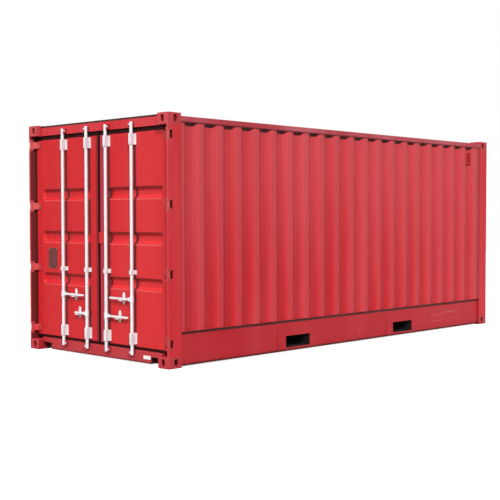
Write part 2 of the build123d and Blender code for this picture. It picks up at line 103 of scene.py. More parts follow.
def joined(*shapes):
    """Several shapes as one: their points in a row, their quads renumbered."""
    first = np.cumsum([0] + [len(points) for points, _ in shapes[:-1]])
    quads = [part + start for (_, part), start in zip(shapes, first)]
    return np.concatenate([points for points, _ in shapes]), np.concatenate(quads)


def outwards(shape):
    """The shape with its faces outwards: the sum over its triangles of a . (b x c) is positive."""
    points, quads = shape
    local = points - points.mean(axis=0)
    a, b, c, d = (local[quads[:, corner]] for corner in range(4))
    volume = np.sum(a * np.cross(b, c) + a * np.cross(c, d))
    return points, quads if volume >= 0 else quads[:, ::-1]


print("helpers for grids ready")

# %% A piece that rides on a body
SHARP_ANGLE = math.radians(38)
WELD_DISTANCE = 1e-6


def make_piece(name, shape, body, slot, replaced=(), finish=None):
    """Put points and quads into a mesh object with faces outwards, and let it ride on a body."""
    points, quads = outwards(shape)
    mesh = bpy.data.meshes.new(name)
    mesh.vertices.add(len(points))
    mesh.vertices.foreach_set("co", np.ascontiguousarray(points, dtype=np.float32).ravel())
    mesh.loops.add(quads.size)
    mesh.loops.foreach_set("vertex_index", np.ascontiguousarray(quads, dtype=np.int32).ravel())
    mesh.polygons.add(len(quads))
    mesh.polygons.foreach_set("loop_start", np.arange(0, quads.size, 4, dtype=np.int32))
    mesh.update(calc_edges=True)
    mesh.validate()
    welded = bmesh.new()
    welded.from_mesh(mesh)
    bmesh.ops.remove_doubles(welded, verts=welded.verts, dist=WELD_DISTANCE)
    welded.to_mesh(mesh)
    welded.free()
    mesh.shade_smooth()
    mesh.set_sharp_from_angle(angle=SHARP_ANGLE)
    piece = bpy.data.objects.new(name, mesh)
    bpy.context.scene.collection.objects.link(piece)
    piece.data.materials.append(finishes[finish or slot])
    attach(piece, body)
    if replaced:
        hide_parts(*replaced)
    print(f"{name}: {len(quads)} quads on {body}")
    return piece


# %% [markdown]
# ## Writing shader maths as plain expressions
# A material is a web of nodes. Adding and linking them by hand takes four lines a sum, so a small
# class wraps one socket and turns +, -, *, ** and < into Math nodes. Every other node comes from
# one method: its type, its settings, then the values or links of its sockets.

# %% A socket with arithmetic
LINE_SOFT = 0.004


class Wire:
    """One output socket; arithmetic on it adds Math nodes to its material."""

    def __init__(self, finish, socket):
        self.finish = finish
        self.socket = socket

    def math(self, operation, first, second):
        """Add one Math node on two values."""
        return self.finish.make("ShaderNodeMath", {"operation": operation}, {0: first, 1: second})

    def __add__(self, other):
        return self.math("ADD", self, other)

    def __radd__(self, other):
        return self.math("ADD", other, self)

    def __sub__(self, other):
        return self.math("SUBTRACT", self, other)

    def __rsub__(self, other):
        return self.math("SUBTRACT", other, self)

    def __mul__(self, other):
        return self.math("MULTIPLY", self, other)

    def __rmul__(self, other):
        return self.math("MULTIPLY", other, self)

    def __pow__(self, other):
        return self.math("POWER", self, other)

    def __lt__(self, other):
        return self.math("LESS_THAN", self, other)

    def limited(self):
        """Keep a value between 0 and 1."""
        return self.finish.make("ShaderNodeClamp", {}, {"Value": self})

    def rise(self, low, high):
        """Go smoothly from 0 at low to 1 at high."""
        sockets = {"Value": self, "From Min": low, "From Max": high}
        return self.finish.make("ShaderNodeMapRange", {"interpolation_type": "SMOOTHSTEP"}, sockets)

    def above(self, level, soft=LINE_SOFT):
        """1 from a level on and 0 before it, with a soft edge."""
        return self.rise(level - soft, level)

    def below(self, level, soft=LINE_SOFT):
        """1 before a level and 0 from it on, with a soft edge."""
        return 1 - self.above(level, soft)

    def between(self, low, high, soft):
        """1 between low and high and 0 outside, with soft edges inside both."""
        return self.above(low + soft, soft) * self.below(high, soft)


print("socket arithmetic ready")

# %% A material being written
MIX_FACTOR, MIX_FIRST, MIX_SECOND, MIX_RESULT = 0, 6, 7, 2
EDGE_GAIN, SAMPLES = 5.0, 4
SEEN_RAYS = ("Is Camera Ray", "Is Glossy Ray", "Is Transmission Ray")
OUT = "out from the middle"


class Cloud(NamedTuple):
    """A noise pattern; with limits it becomes a mask that rises from 0 to 1 between them."""

    scale: float
    detail: float = 4.0
    stretch: tuple = (1.0, 1.0, 1.0)
    roughness: float = 0.55
    limits: tuple = ()


class Finish:
    """A material whose nodes are written in Python."""

    def __init__(self, name):
        self.material = bpy.data.materials.new(name)
        self.material.use_nodes = True
        self.tree = self.material.node_tree
        self.tree.nodes.clear()
        self.place = self.make("ShaderNodeTexCoord", {}, {}, "Object")

    def make(self, kind, settings, sockets, output=0):
        """Add a node: settings first, then a value or a link for each named socket."""
        node = self.tree.nodes.new(kind)
        for key, value in settings.items():
            setattr(node, key, value)
        for key, value in sockets.items():
            if isinstance(value, Wire):
                self.tree.links.new(value.socket, node.inputs[key])
            else:
                node.inputs[key].default_value = value
        return Wire(self, node.outputs[output]) if node.outputs else None

    def mix(self, share, first, second):
        """Blend two colours."""
        sockets = {MIX_FACTOR: share, MIX_FIRST: first, MIX_SECOND: second}
        return self.make("ShaderNodeMix", {"data_type": "RGBA"}, sockets, MIX_RESULT)

    def cloud(self, pattern):
        """Cloudy values around a half, or the pattern's mask; stretch squeezes along each axis."""
        place = self.make("ShaderNodeMapping", {}, {"Vector": self.place, "Scale": pattern.stretch})
        sockets = {"Vector": place, "Scale": pattern.scale}
        sockets.update({"Detail": pattern.detail, "Roughness": pattern.roughness})
        value = self.make("ShaderNodeTexNoise", {}, sockets, "Fac")
        return value.rise(*pattern.limits) if pattern.limits else value

    def axis(self, letter):
        """One coordinate of the surface point in metres, or how far out it is on either side."""
        if letter == OUT:
            across = self.axis("Y")
            return (across * across) ** 0.5
        return self.make("ShaderNodeSeparateXYZ", {}, {"Vector": self.place}, letter)

    def facing(self, letter):
        """One part of the direction that the surface faces, along the object's own axes."""
        normal = self.make("ShaderNodeTexCoord", {}, {}, "Normal")
        return self.make("ShaderNodeSeparateXYZ", {}, {"Vector": normal}, letter)

    def edge(self, radius):
        """A rounded normal, and a mask: 1 on edges, where it leaves the true one, 0 on flats."""
        soft = self.make("ShaderNodeBevel", {"samples": SAMPLES}, {"Radius": radius})
        true = self.make("ShaderNodeNewGeometry", {}, {}, "Normal")
        settings = {"operation": "DOT_PRODUCT"}
        agree = self.make("ShaderNodeVectorMath", settings, {0: soft, 1: true}, "Value")
        return soft, (EDGE_GAIN * (1 - agree)).limited()

    def open_air(self, distance):
        """Share of open sky over a point within a distance: low in corners and grooves."""
        settings = {"samples": SAMPLES}
        return self.make("ShaderNodeAmbientOcclusion", settings, {"Distance": distance}, "AO")

    def bump(self, height, strength, distance, **rounded):
        """Turn a height into a normal, on top of a rounded one where it is given."""
        sockets = {"Height": height, "Strength": strength, "Distance": distance, **rounded}
        return self.make("ShaderNodeBump", {}, sockets)

    def seen(self):
        """1 for rays that show the surface itself: to the camera, in gloss or through glass."""
        rays = sum(self.make("ShaderNodeLightPath", {}, {}, name) for name in SEEN_RAYS)
        return rays.limited()

    def surface(self, colour, roughness, normal, plain=()):
        """End the material in one Principled shader; plain sockets have one value all over."""
        sockets = {"Base Color": colour, "Roughness": roughness, "Normal": normal, **dict(plain)}
        shader = self.make("ShaderNodeBsdfPrincipled", {}, sockets)
        self.make("ShaderNodeOutputMaterial", {}, {"Surface": shader})
        return self.material


SCREEN_FULL, SCREEN_KNEE, SCREEN_SLOPE = 255, 0.04045, 12.92
SCREEN_SHIFT, SCREEN_POWER = 0.055, 2.4


def rgb(red, green, blue):
    """A colour as it looks on screen, 0 to 255, as the linear values that shaders use."""
    screen = np.array([red, green, blue]) / SCREEN_FULL
    curve = ((screen + SCREEN_SHIFT) / (1 + SCREEN_SHIFT)) ** SCREEN_POWER
    return (*np.where(screen <= SCREEN_KNEE, screen / SCREEN_SLOPE, curve).tolist(), 1.0)


print("shader helpers ready")

# %% [markdown]
# ## Red container paint
# Marine paint ages in layers: sun bleaches it in broad clouds, rain draws faint vertical streaks,
# handling leaves pale scuffs, edges lose their paint and rust, and grime stays in corners, where
# shade is painted in as well. Each layer is one mask, and the colour is built up by blending them
# in that order.

# %% Layers of the paint
# A dark red for grime and for painted shade, and a pale pink for scuffs and for painted highlights.
GRIME_AND_SHADE, SCUFF_AND_HIGHLIGHT = rgb(70, 14, 18), rgb(226, 150, 152)
RUST, BARE_EDGE = rgb(96, 48, 34), rgb(214, 128, 130)
FADE = Cloud(scale=0.9, detail=5, stretch=(1.6, 1.6, 0.35), limits=(0.35, 0.68))
STREAK = Cloud(scale=1.0, detail=5, stretch=(16.0, 16.0, 0.45), limits=(0.50, 0.78))
MOTTLE, MOTTLE_MIDDLE = Cloud(scale=24.0, detail=5), 0.5
SCUFF = Cloud(scale=3.2, detail=8, stretch=(1.0, 1.0, 0.4), roughness=0.72, limits=(0.66, 0.74))
CHIPS = Cloud(scale=38.0, limits=(0.50, 0.60))
RUST_SPOTS = Cloud(scale=13.0, detail=7, roughness=0.7, limits=(0.63, 0.70))
GRIT = Cloud(scale=150.0, detail=2)
STREAK_SHARE, MOTTLE_SHARE, SCUFF_SHARE, CHIP_SHARE = 0.16, 0.18, 0.24, 0.55
NEAR_GROUND, RUST_LOW_DOWN, RUST_ON_EDGES = (0.0, 0.7), 0.25, 0.6
# Grime with painted shade in crevices and recesses, from how little open sky a point has.
CREVICE, CREVICE_LIMITS, CREVICE_SHARE = 0.05, (0.25, 0.95), 0.7
RECESS, RECESS_LIMITS, RECESS_SHARE = 0.30, (0.35, 0.95), 0.35
ROUGH_PAINT, ROUGH_FADE, ROUGH_MOTTLE, ROUGH_RUST = 0.44, 0.16, 0.12, 0.2
HIGH_MOTTLE, HIGH_GRIT, LOW_RUST = 0.6, 0.3, 0.6
PAINT_GLOSS, PAINT_EDGE, PAINT_BUMP = {"Specular IOR Level": 0.3}, 0.006, (0.25, 0.0012)


def weathered_paint(name, fresh, faded, wear, marks):
    """Paint with fading, streaks, scuffs, marks, worn edges, rust, and grime with painted shade in
    the corners.
    """
    finish = Finish(name)
    soft_normal, edge = finish.edge(PAINT_EDGE)
    fade, mottle = finish.cloud(FADE), finish.cloud(MOTTLE)
    colour = finish.mix(fade, fresh, faded)
    colour = finish.mix(STREAK_SHARE * finish.cloud(STREAK), colour, GRIME_AND_SHADE)
    colour = finish.mix(MOTTLE_SHARE * (mottle - MOTTLE_MIDDLE).limited(), colour, GRIME_AND_SHADE)
    colour = finish.mix(SCUFF_SHARE * wear * finish.cloud(SCUFF), colour, SCUFF_AND_HIGHLIGHT)
    for mark in marks:
        colour = finish.mix(mark.share * mark.mask(finish), colour, mark.tint)
    colour = finish.mix(CHIP_SHARE * wear * edge * finish.cloud(CHIPS), colour, BARE_EDGE)
    low_down = 1 - finish.axis("Z").rise(*NEAR_GROUND)
    places = RUST_LOW_DOWN * low_down + RUST_ON_EDGES * edge
    rust = (finish.cloud(RUST_SPOTS) * places * wear).limited()
    colour = finish.mix(rust, colour, RUST)
    # Grime and painted shade: darker where a point sees less open sky, in crevices and recesses.
    crevice = (1 - finish.open_air(CREVICE)).rise(*CREVICE_LIMITS)
    recess = (1 - finish.open_air(RECESS)).rise(*RECESS_LIMITS)
    grime = (CREVICE_SHARE * crevice + RECESS_SHARE * recess).limited()
    colour = finish.mix(grime, colour, GRIME_AND_SHADE)
    roughness = ROUGH_PAINT + ROUGH_FADE * fade + ROUGH_MOTTLE * mottle + ROUGH_RUST * rust
    height = HIGH_MOTTLE * mottle + HIGH_GRIT * finish.cloud(GRIT) - LOW_RUST * rust
    normal = finish.bump(height, *PAINT_BUMP, Normal=soft_normal)
    return finish.surface(colour, roughness, normal, PAINT_GLOSS)


print("paint layers ready")

# %% [markdown]
# ## Marks in their own places
# Some marks always sit in the same place: painted shade under a rail or behind a bar, a dark line
# along a seam. A picture for each piece would have to be painted by hand, so each mark is a mask
# worked out from the place of a surface point in metres, measured from the boxes of the pieces.
# Marks that belong on the outside also ask which way the surface faces, so they stay off the
# inside of an open door.

# %% Masks that the marks share
FACING_OUT = (0.0, 0.2)


class Mark(NamedTuple):
    """A mask over the surface, the share of its colour where it is full, and that colour."""

    mask: object
    share: float
    tint: tuple


def past(letter, level, soft=LINE_SOFT):
    """A mask that is 1 from a level on along one axis."""
    return lambda finish: finish.axis(letter).above(level, soft)


def short_of(letter, level, soft=LINE_SOFT):
    """A mask that is 1 before a level along one axis."""
    return lambda finish: finish.axis(letter).below(level, soft)


def within(letter, middles, half, soft):
    """A mask that is 1 up to half a width on both sides of each middle along one axis."""
    def mask(finish):
        place = finish.axis(letter)
        return sum(place.between(middle - half, middle + half, soft) for middle in middles)

    return mask


def overlap(*masks):
    """A mask that is full only where all the others are: their product."""
    return lambda finish: math.prod(mask(finish) for mask in masks)


def outside_of_wall(finish):
    """1 on the faces of a side wall that look away from the middle and 0 on those inside."""
    return (finish.axis("Y") * finish.facing("Y")).rise(*FACING_OUT)


def outside_of_door(finish):
    """1 on the faces of a door that look out of the container and 0 on those inside."""
    return (0 - finish.facing("X")).rise(*FACING_OUT)


print("masks ready")

# %% Marks on the side walls
DEEP_SHADE, CHALKY_RED, BLEACHED_RED = rgb(24, 4, 5), rgb(204, 96, 99), rgb(212, 88, 94)
RAIL_SHADOW, GROOVE, GROOVE_SOFT = 0.030, 0.014, 0.012
FLAT_RUB, POST_SEAM, FRONT_STRIP = 0.004, 0.012, 0.045
SPRAY_HEIGHT, SPRAY_FADE, WASHED = 2.4, 1.8, 0.75
WALL_LOW, WALL_HIGH = box_corners("left_wall")
WALL_FACE = WALL_HIGH[1]


def washed(finish):
    """Thick low down, where spray reaches, and thin high up, where rain washes it off."""
    return 1 - WASHED * sun_bleach(finish)


# Paint paled by the sun towards the top, and rubbed chalky on the outer flats.
sun_bleach = past("Z", SPRAY_HEIGHT, SPRAY_FADE)
rubbed_flats = past(OUT, WALL_FACE - FLAT_RUB, FLAT_RUB)
# Dirt on the inner flats, heavier low down, with painted shade in the grooves, and a painted shadow
# of the top rail there.
inner_flats = overlap(short_of(OUT, WALL_FACE - GROOVE, GROOVE_SOFT), outside_of_wall)
groove_dirt_and_shade = overlap(washed, inner_flats)
top_rail_shadow = overlap(past("Z", WALL_HIGH[2] - RAIL_SHADOW), inner_flats)
# A dark line painted along the joint at the door post, and painted shade in a strip beside the
# front post.
post_seam = overlap(short_of("X", WALL_LOW[0] + POST_SEAM), outside_of_wall)
front_strip_shade = overlap(past("X", WALL_HIGH[0] - FRONT_STRIP, FRONT_STRIP), outside_of_wall)
WALL_MARKS = [
    Mark(sun_bleach, share=0.35, tint=BLEACHED_RED),
    Mark(groove_dirt_and_shade, share=0.20, tint=GRIME_AND_SHADE),
    Mark(rubbed_flats, share=0.25, tint=CHALKY_RED),
    Mark(top_rail_shadow, share=0.90, tint=DEEP_SHADE),
    Mark(post_seam, share=0.60, tint=GRIME_AND_SHADE),
    Mark(front_strip_shade, share=0.42, tint=GRIME_AND_SHADE),
]
print("wall marks:", len(WALL_MARKS))

# %% Marks on the doors
GAP_SHADE_RED, COOL_RED = rgb(112, 12, 20), rgb(160, 40, 62)
BAR_OFFSETS = (0.170, 0.605)
BAR_SHADOW, BAR_SHADOW_SOFT = 0.028, 0.014
BAND_COUNT, BAND_PITCH, BAND_RISE = 3, 0.480, 0.014
BAND_HEIGHT, BAND_SLOPE, BAND_END = 0.138, 0.045, 0.030
BAND_SHADE, BAND_HIGHLIGHT = 0.016, 0.007
INNER_STILE, MEETING_EDGE = 0.106, 0.034
leaf_low, leaf_high = box_corners("left_door_frame")
panel_low, panel_high = box_corners("left_door_panel")
stile_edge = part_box("right_door_frame")[1][1]
band_numbers = np.arange(BAND_COUNT) - (BAND_COUNT - 1) / 2
BAND_MIDDLES = (leaf_low[2] + leaf_high[2]) / 2 + BAND_RISE + BAND_PITCH * band_numbers


def band_lines(level, half):
    """A mask that is 1 on a level line at the same distance from the middle of each band."""
    middle, width = (panel_low[1] + panel_high[1]) / 2, panel_high[1] - panel_low[1]
    sideways = within(OUT, [middle], width / 2 - BAND_END, BAND_END)
    return overlap(within("Z", BAND_MIDDLES + level, half, half), sideways, outside_of_door)


# Painted shadows of the locking bars on the door behind them.
bar_shadows = overlap(within(OUT, BAR_OFFSETS, BAR_SHADOW, BAR_SHADOW_SOFT), outside_of_door)
# Painted shade under the upper edge of each band, and a painted highlight along its lower edge.
band_top_shade = band_lines(BAND_HEIGHT / 2 - BAND_SHADE, BAND_SHADE)
band_foot_highlight = band_lines(-BAND_HEIGHT / 2, BAND_HIGHLIGHT)
# Painted shade on the left leaf's edge at the meeting gap, and the right leaf's stile beside it.
meeting_gap_shade = short_of("Y", leaf_low[1] + MEETING_EDGE)
inner_stile = overlap(past("Y", stile_edge - INNER_STILE), outside_of_door)
DOOR_MARKS = [
    Mark(bar_shadows, share=0.85, tint=GRIME_AND_SHADE),
    Mark(band_top_shade, share=0.55, tint=GRIME_AND_SHADE),
    Mark(band_foot_highlight, share=0.30, tint=SCUFF_AND_HIGHLIGHT),
]
LEFT_STILE_MARKS = DOOR_MARKS + [Mark(meeting_gap_shade, share=0.85, tint=GAP_SHADE_RED)]
RIGHT_STILE_MARKS = DOOR_MARKS + [Mark(inner_stile, share=0.70, tint=COOL_RED)]
print("door marks:", len(DOOR_MARKS), "and one for each stile")

# %% Marks on rails, posts, header and sill
JAMB_SHADE = rgb(86, 32, 29)
SCRAPES = Cloud(scale=1.0, detail=3, stretch=(2.4, 2.4, 46.0), limits=(0.50, 0.66))
SCRAPE_X, SCRAPE_LONG = 2.00, (0.45, 0.35)
SCRAPE_Z, SCRAPE_TALL = 0.185, (0.105, 0.08)
JAMB_FACE, HEADER_SHADE, UNDERSIDE = 1.1985, 0.018, 0.002
FLANGE_SHADE, FOOT, RAIL_LIP = 0.019, 0.018, 0.012
NOTCH_WIDTH, NOTCH_HEIGHT, NOTCH_SKIN = 0.184, 0.079, 0.008
rail_low, rail_high = box_corners("left_bottom_rail")
top_rail_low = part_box("left_top_rail")[0]
sill_low, header_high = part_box("door_sill")[0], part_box("door_header")[1]


def scraped(finish):
    """Long level scrapes."""
    return finish.cloud(SCRAPES)


# Scrapes on the bottom rail near the front end, where a fork has rubbed.
scrape_box = [within("X", [SCRAPE_X], *SCRAPE_LONG), within("Z", [SCRAPE_Z], *SCRAPE_TALL)]
rail_scrapes = overlap(scraped, *scrape_box)
# Painted shade on the bottom rail, in a line under its top flange and along its foot.
flange_shade = within("Z", [rail_high[2] - FLANGE_SHADE], FLANGE_SHADE, LINE_SOFT)
rail_foot_shade = short_of("Z", rail_low[2] + FOOT)
# Painted shade on the lower edge of the top rail and on its face that looks down.
rail_lip_shade = short_of("Z", top_rail_low[2] + RAIL_LIP)
rail_underside_shade = short_of("Z", top_rail_low[2] + UNDERSIDE, UNDERSIDE)
# Painted shade along the foot of the sill, and black painted shade in the depth of the notches
# under its ends.
sill_foot_shade = short_of("Z", sill_low[2] + FOOT)
notch_back = past("X", sill_low[0] + NOTCH_SKIN)
notch_ends = past(OUT, header_high[1] - NOTCH_WIDTH)
sill_notch_shade = overlap(notch_back, notch_ends, short_of("Z", sill_low[2] + NOTCH_HEIGHT))
# Painted shade on the header's top edge, and painted shade with grime on the face of a post that
# looks at the leaf.
header_top_shade = past("Z", header_high[2] - HEADER_SHADE)
shaded_jamb = short_of(OUT, JAMB_FACE)
RAIL_MARKS = [
    Mark(rail_scrapes, share=0.50, tint=SCUFF_AND_HIGHLIGHT),
    Mark(flange_shade, share=0.90, tint=GRIME_AND_SHADE),
    Mark(rail_foot_shade, share=0.90, tint=GRIME_AND_SHADE),
]
TOP_RAIL_MARKS = [
    Mark(rail_lip_shade, share=0.70, tint=GRIME_AND_SHADE),
    Mark(rail_underside_shade, share=0.95, tint=DEEP_SHADE),
]
SILL_MARKS = [
    Mark(sill_foot_shade, share=0.70, tint=GRIME_AND_SHADE),
    Mark(sill_notch_shade, share=0.97, tint=DEEP_SHADE),
]
HEADER_MARKS = [Mark(header_top_shade, share=0.95, tint=DEEP_SHADE)]
POST_MARKS = [Mark(shaded_jamb, share=0.90, tint=JAMB_SHADE)]
print("rail marks:", len(RAIL_MARKS), "top rail marks:", len(TOP_RAIL_MARKS))

# %% [markdown]
# ## The reds of the container
# The doors are a cleaner, warmer red than the sides, the rails are duller, and the castings are
# the most worn. One table gives each paint its fresh and faded red, its wear and its marks.

# %% Paints
SIDE_REDS = (rgb(206, 32, 42), rgb(214, 60, 68))
RAIL_REDS = (rgb(188, 30, 40), rgb(196, 52, 60))
TOP_RAIL_REDS = (rgb(180, 54, 66), rgb(198, 96, 105))
SILL_REDS = (rgb(179, 33, 41), rgb(187, 60, 66))
HEADER_REDS = (rgb(202, 36, 44), rgb(208, 62, 68))
# The left leaf gets a darker red than the right one: painted shade on one leaf of the same paint.
SHADED_LEFT_REDS = (rgb(198, 20, 28), rgb(205, 38, 43))
LIT_RIGHT_REDS = (rgb(203, 26, 32), rgb(210, 46, 50))
HINGE_REDS = (rgb(186, 42, 46), rgb(202, 80, 82))
CASTING_REDS = (rgb(184, 36, 46), rgb(204, 74, 82))
SIDE_WEAR, DOOR_WEAR, CASTING_WEAR = 1.0, 0.7, 1.6
PAINTS = {
    "red_paint": (SIDE_REDS, SIDE_WEAR, []),
    "door_paint": (SHADED_LEFT_REDS, DOOR_WEAR, DOOR_MARKS),
    "casting_paint": (CASTING_REDS, CASTING_WEAR, []),
    "post_paint": (SIDE_REDS, SIDE_WEAR, POST_MARKS),
    "wall_paint": (SIDE_REDS, SIDE_WEAR, WALL_MARKS),
    "rail_paint": (RAIL_REDS, SIDE_WEAR, RAIL_MARKS),
    "sill_paint": (SILL_REDS, SIDE_WEAR, SILL_MARKS),
    "left_stile_paint": (SHADED_LEFT_REDS, DOOR_WEAR, LEFT_STILE_MARKS),
    "right_stile_paint": (LIT_RIGHT_REDS, DOOR_WEAR, RIGHT_STILE_MARKS),
    "right_door_paint": (LIT_RIGHT_REDS, DOOR_WEAR, DOOR_MARKS),
    "hinge_paint": (HINGE_REDS, SIDE_WEAR, []),
    "header_paint": (HEADER_REDS, SIDE_WEAR, HEADER_MARKS),
    "top_rail_paint": (TOP_RAIL_REDS, SIDE_WEAR, TOP_RAIL_MARKS),
}
finishes = {}
for name, (reds, wear, marks) in PAINTS.items():
    finishes[name] = weathered_paint(name, *reds, wear, marks)
print("paints:", ", ".join(finishes))

# %% [markdown]
# ## Bare metal, rubber, wood and coating
# The locking gear is hot-dip galvanised: zinc freezes in flat crystals that differ a little in
# brightness. Gaskets are dull dark rubber with dust, the floor is oiled plywood with long grain
# and joints between boards, and the underside is a thick black coating.

# %% Galvanised steel
ZINC, ZINC_CRYSTAL = rgb(234, 235, 237), rgb(216, 218, 222)
ZINC_DULL, ZINC_STAIN = rgb(198, 198, 201), rgb(150, 104, 84)
DULL_PATCHES = Cloud(scale=7.0, detail=6, limits=(0.4, 0.7))
STAIN_SPOTS = Cloud(scale=30.0, detail=6, roughness=0.7, limits=(0.66, 0.74))
CRYSTALS, CRYSTAL_SHARE, DULL_SHARE, SPOT_SHARE, EDGE_SHARE = 90.0, 0.6, 0.35, 0.35, 0.15
ROUGH_ZINC, ROUGH_DULL, ROUGH_CRYSTAL = 0.34, 0.18, 0.1
ZINC_SHINE, ZINC_EDGE, ZINC_BUMP = {"Metallic": 0.12}, 0.003, (0.12, 0.0006)


def galvanised(name):
    """Pale zinc with crystals, dull patches and a little grime."""
    finish = Finish(name)
    soft_normal, edge = finish.edge(ZINC_EDGE)
    sockets = {"Vector": finish.place, "Scale": CRYSTALS}
    cells = finish.make("ShaderNodeTexVoronoi", {}, sockets, "Color")
    spangle = finish.make("ShaderNodeSeparateColor", {}, {"Color": cells})
    dull = finish.cloud(DULL_PATCHES)
    colour = finish.mix(CRYSTAL_SHARE * spangle, ZINC, ZINC_CRYSTAL)
    colour = finish.mix(DULL_SHARE * dull, colour, ZINC_DULL)
    stain = SPOT_SHARE * finish.cloud(STAIN_SPOTS) + EDGE_SHARE * edge
    colour = finish.mix(stain, colour, ZINC_STAIN)
    normal = finish.bump(spangle, *ZINC_BUMP, Normal=soft_normal)
    roughness = ROUGH_ZINC + ROUGH_DULL * dull + ROUGH_CRYSTAL * spangle
    return finish.surface(colour, roughness, normal, ZINC_SHINE)


finishes["galvanised_steel"] = galvanised("galvanised_steel")
print("zinc ready")

# %% Rubber and coating
ROUGH_DUST = 0.2
DUSTY = {
    "gasket_rubber": {
        "colours": (rgb(46, 6, 6), rgb(62, 20, 18)), "share": 0.4, "rough": 0.62,
        "clouds": Cloud(scale=9.0, detail=6, limits=(0.5, 0.75)),
        "grain": Cloud(scale=120.0, detail=3), "bump": (0.3, 0.001),
        "plain": {"Specular IOR Level": 0.12},
    },
    "underside_coating": {
        "colours": (rgb(13, 11, 11), rgb(38, 31, 30)), "share": 0.5, "rough": 0.7,
        "clouds": Cloud(scale=4.0, detail=7, limits=(0.45, 0.75)),
        "grain": Cloud(scale=45.0, detail=5), "bump": (0.5, 0.002),
    },
}


def dusty(name, colours, share, rough, clouds, grain, bump, plain=()):
    """Dull rubber or coating with a grain or lumps, paler and rougher where dust lies."""
    finish = Finish(name)
    dust = finish.cloud(clouds)
    colour, normal = finish.mix(share * dust, *colours), finish.bump(finish.cloud(grain), *bump)
    return finish.surface(colour, rough + ROUGH_DUST * dust, normal, plain)


for name, look in DUSTY.items():
    finishes[name] = dusty(name, **look)
print("dull finishes:", ", ".join(DUSTY))

# %% Plywood and plates
BOARD_LENGTH, BOARD_WIDTH, BOARD_JOINT, JOINT_DEEP = 2.4, 1.2, 0.003, 2
WOOD_DARK, WOOD_LIGHT, WOOD_FIGURE = rgb(122, 84, 54), rgb(168, 124, 84), rgb(140, 92, 58)
WHEEL_BLACK, JOINT_BLACK = rgb(70, 56, 46), rgb(30, 22, 18)
GRAIN = Cloud(scale=1.0, detail=8, stretch=(1.6, 42.0, 42.0), roughness=0.6)
FIGURE = Cloud(scale=1.0, stretch=(0.7, 5.0, 5.0))
WHEEL_MARKS = Cloud(scale=1.0, detail=6, stretch=(0.5, 7.0, 1.0), limits=(0.55, 0.75))
GRAIN_LIMITS, FIGURE_SHARE, WHEEL_SHARE = (0.3, 0.7), 0.4, 0.45
ROUGH_WOOD, ROUGH_GRAIN, WOOD_BUMP = 0.55, 0.2, (0.35, 0.001)
PLATE_CLOUDS = Cloud(scale=30.0, detail=6, limits=(0.45, 0.75))
PLATE_WORN, PLATE_RUBBED, ROUGH_WORN = 0.6, 0.4, 0.2
PLATE_SHINE, PLATE_EDGE, PLATE_BUMP = {"Metallic": 0.2}, 0.002, (0.15, 0.0005)
PLATES = {
    "plate_metal": (rgb(84, 26, 23), rgb(108, 42, 36), 0.5),
    "tag_metal": (rgb(236, 232, 230), rgb(214, 206, 204), 0.35),
}


def plywood(name):
    """Boards laid along the container: grain along X, joints at each board's edge, wheel marks."""
    finish = Finish(name)
    x, y, grain = finish.axis("X"), finish.axis("Y"), finish.cloud(GRAIN)
    along = x.math("PINGPONG", x, BOARD_LENGTH / 2)
    across = y.math("PINGPONG", y, BOARD_WIDTH / 2)
    joint = ((along < BOARD_JOINT) + (across < BOARD_JOINT)).limited()
    colour = finish.mix(grain.rise(*GRAIN_LIMITS), WOOD_DARK, WOOD_LIGHT)
    colour = finish.mix(FIGURE_SHARE * finish.cloud(FIGURE), colour, WOOD_FIGURE)
    colour = finish.mix(WHEEL_SHARE * finish.cloud(WHEEL_MARKS), colour, WHEEL_BLACK)
    colour = finish.mix(joint, colour, JOINT_BLACK)
    normal = finish.bump(grain - JOINT_DEEP * joint, *WOOD_BUMP)
    return finish.surface(colour, ROUGH_WOOD + ROUGH_GRAIN * grain, normal)


def enamel_plate(name, dark, light, rough):
    """A small plate with a worn enamel or anodised face."""
    finish = Finish(name)
    soft_normal, edge = finish.edge(PLATE_EDGE)
    worn = finish.cloud(PLATE_CLOUDS)
    colour = finish.mix(PLATE_WORN * worn + PLATE_RUBBED * edge, dark, light)
    normal = finish.bump(worn, *PLATE_BUMP, Normal=soft_normal)
    return finish.surface(colour, rough + ROUGH_WORN * worn, normal, PLATE_SHINE)


finishes["plywood"] = plywood("plywood")
for name, look in PLATES.items():
    finishes[name] = enamel_plate(name, *look)
print("finishes:", len(finishes))

# %% Dress the nodes of the frame
NODE_PAINTS = {"door_header": "header_paint", "door_sill": "sill_paint"}
NODE_PAINTS.update({"closing_tab": "right_door_paint", "hinge_pins": "hinge_paint"})
for side_name in SIDES:
    NODE_PAINTS[f"{side_name}_rear_post"] = "post_paint"
    NODE_PAINTS[f"{side_name}_top_rail"] = "top_rail_paint"
    NODE_PAINTS[f"{side_name}_bottom_rail"] = "rail_paint"
    NODE_PAINTS[f"{side_name}_door_frame"] = f"{side_name}_stile_paint"
    NODE_PAINTS[f"{side_name}_door_hinges"] = "hinge_paint"
for subpart in record["subparts"]:
    node = subpart["node"]
    for holder in frame["nodes"][node].material_slots:
        holder.material = finishes[NODE_PAINTS.get(node, subpart["material_slot"])]
print("dressed", len(record["subparts"]), "nodes")

# %% [markdown]
# ## Corrugated wall sheets
# A wall is one sheet bent into trapezoids: outer flat, slope, inner flat, slope. Cut as a polygon
# it has knife edges, so the bent line is softened first: each corner B becomes a short curve
# between a point A before it and a point C after it. The line is then carried up the wall, and a
# sum of shallow round dents moves the sheet in and out a little, as on any wall that has travelled.

# %% Softened line and carried sheet
BEND_RADIUS, BEND_STEPS, BEND_SUPPORT = 0.009, 4, 0.003
SHEET = 0.002
WALL_ROWS = 44
WALL_DENTS = {"count": 60, "size": 0.16, "depth": 0.0022}
DENT_EDGE = 0.12
DENT_STRENGTHS, DENT_SPREADS = (-0.3, 1.0), (0.5, 1.5)


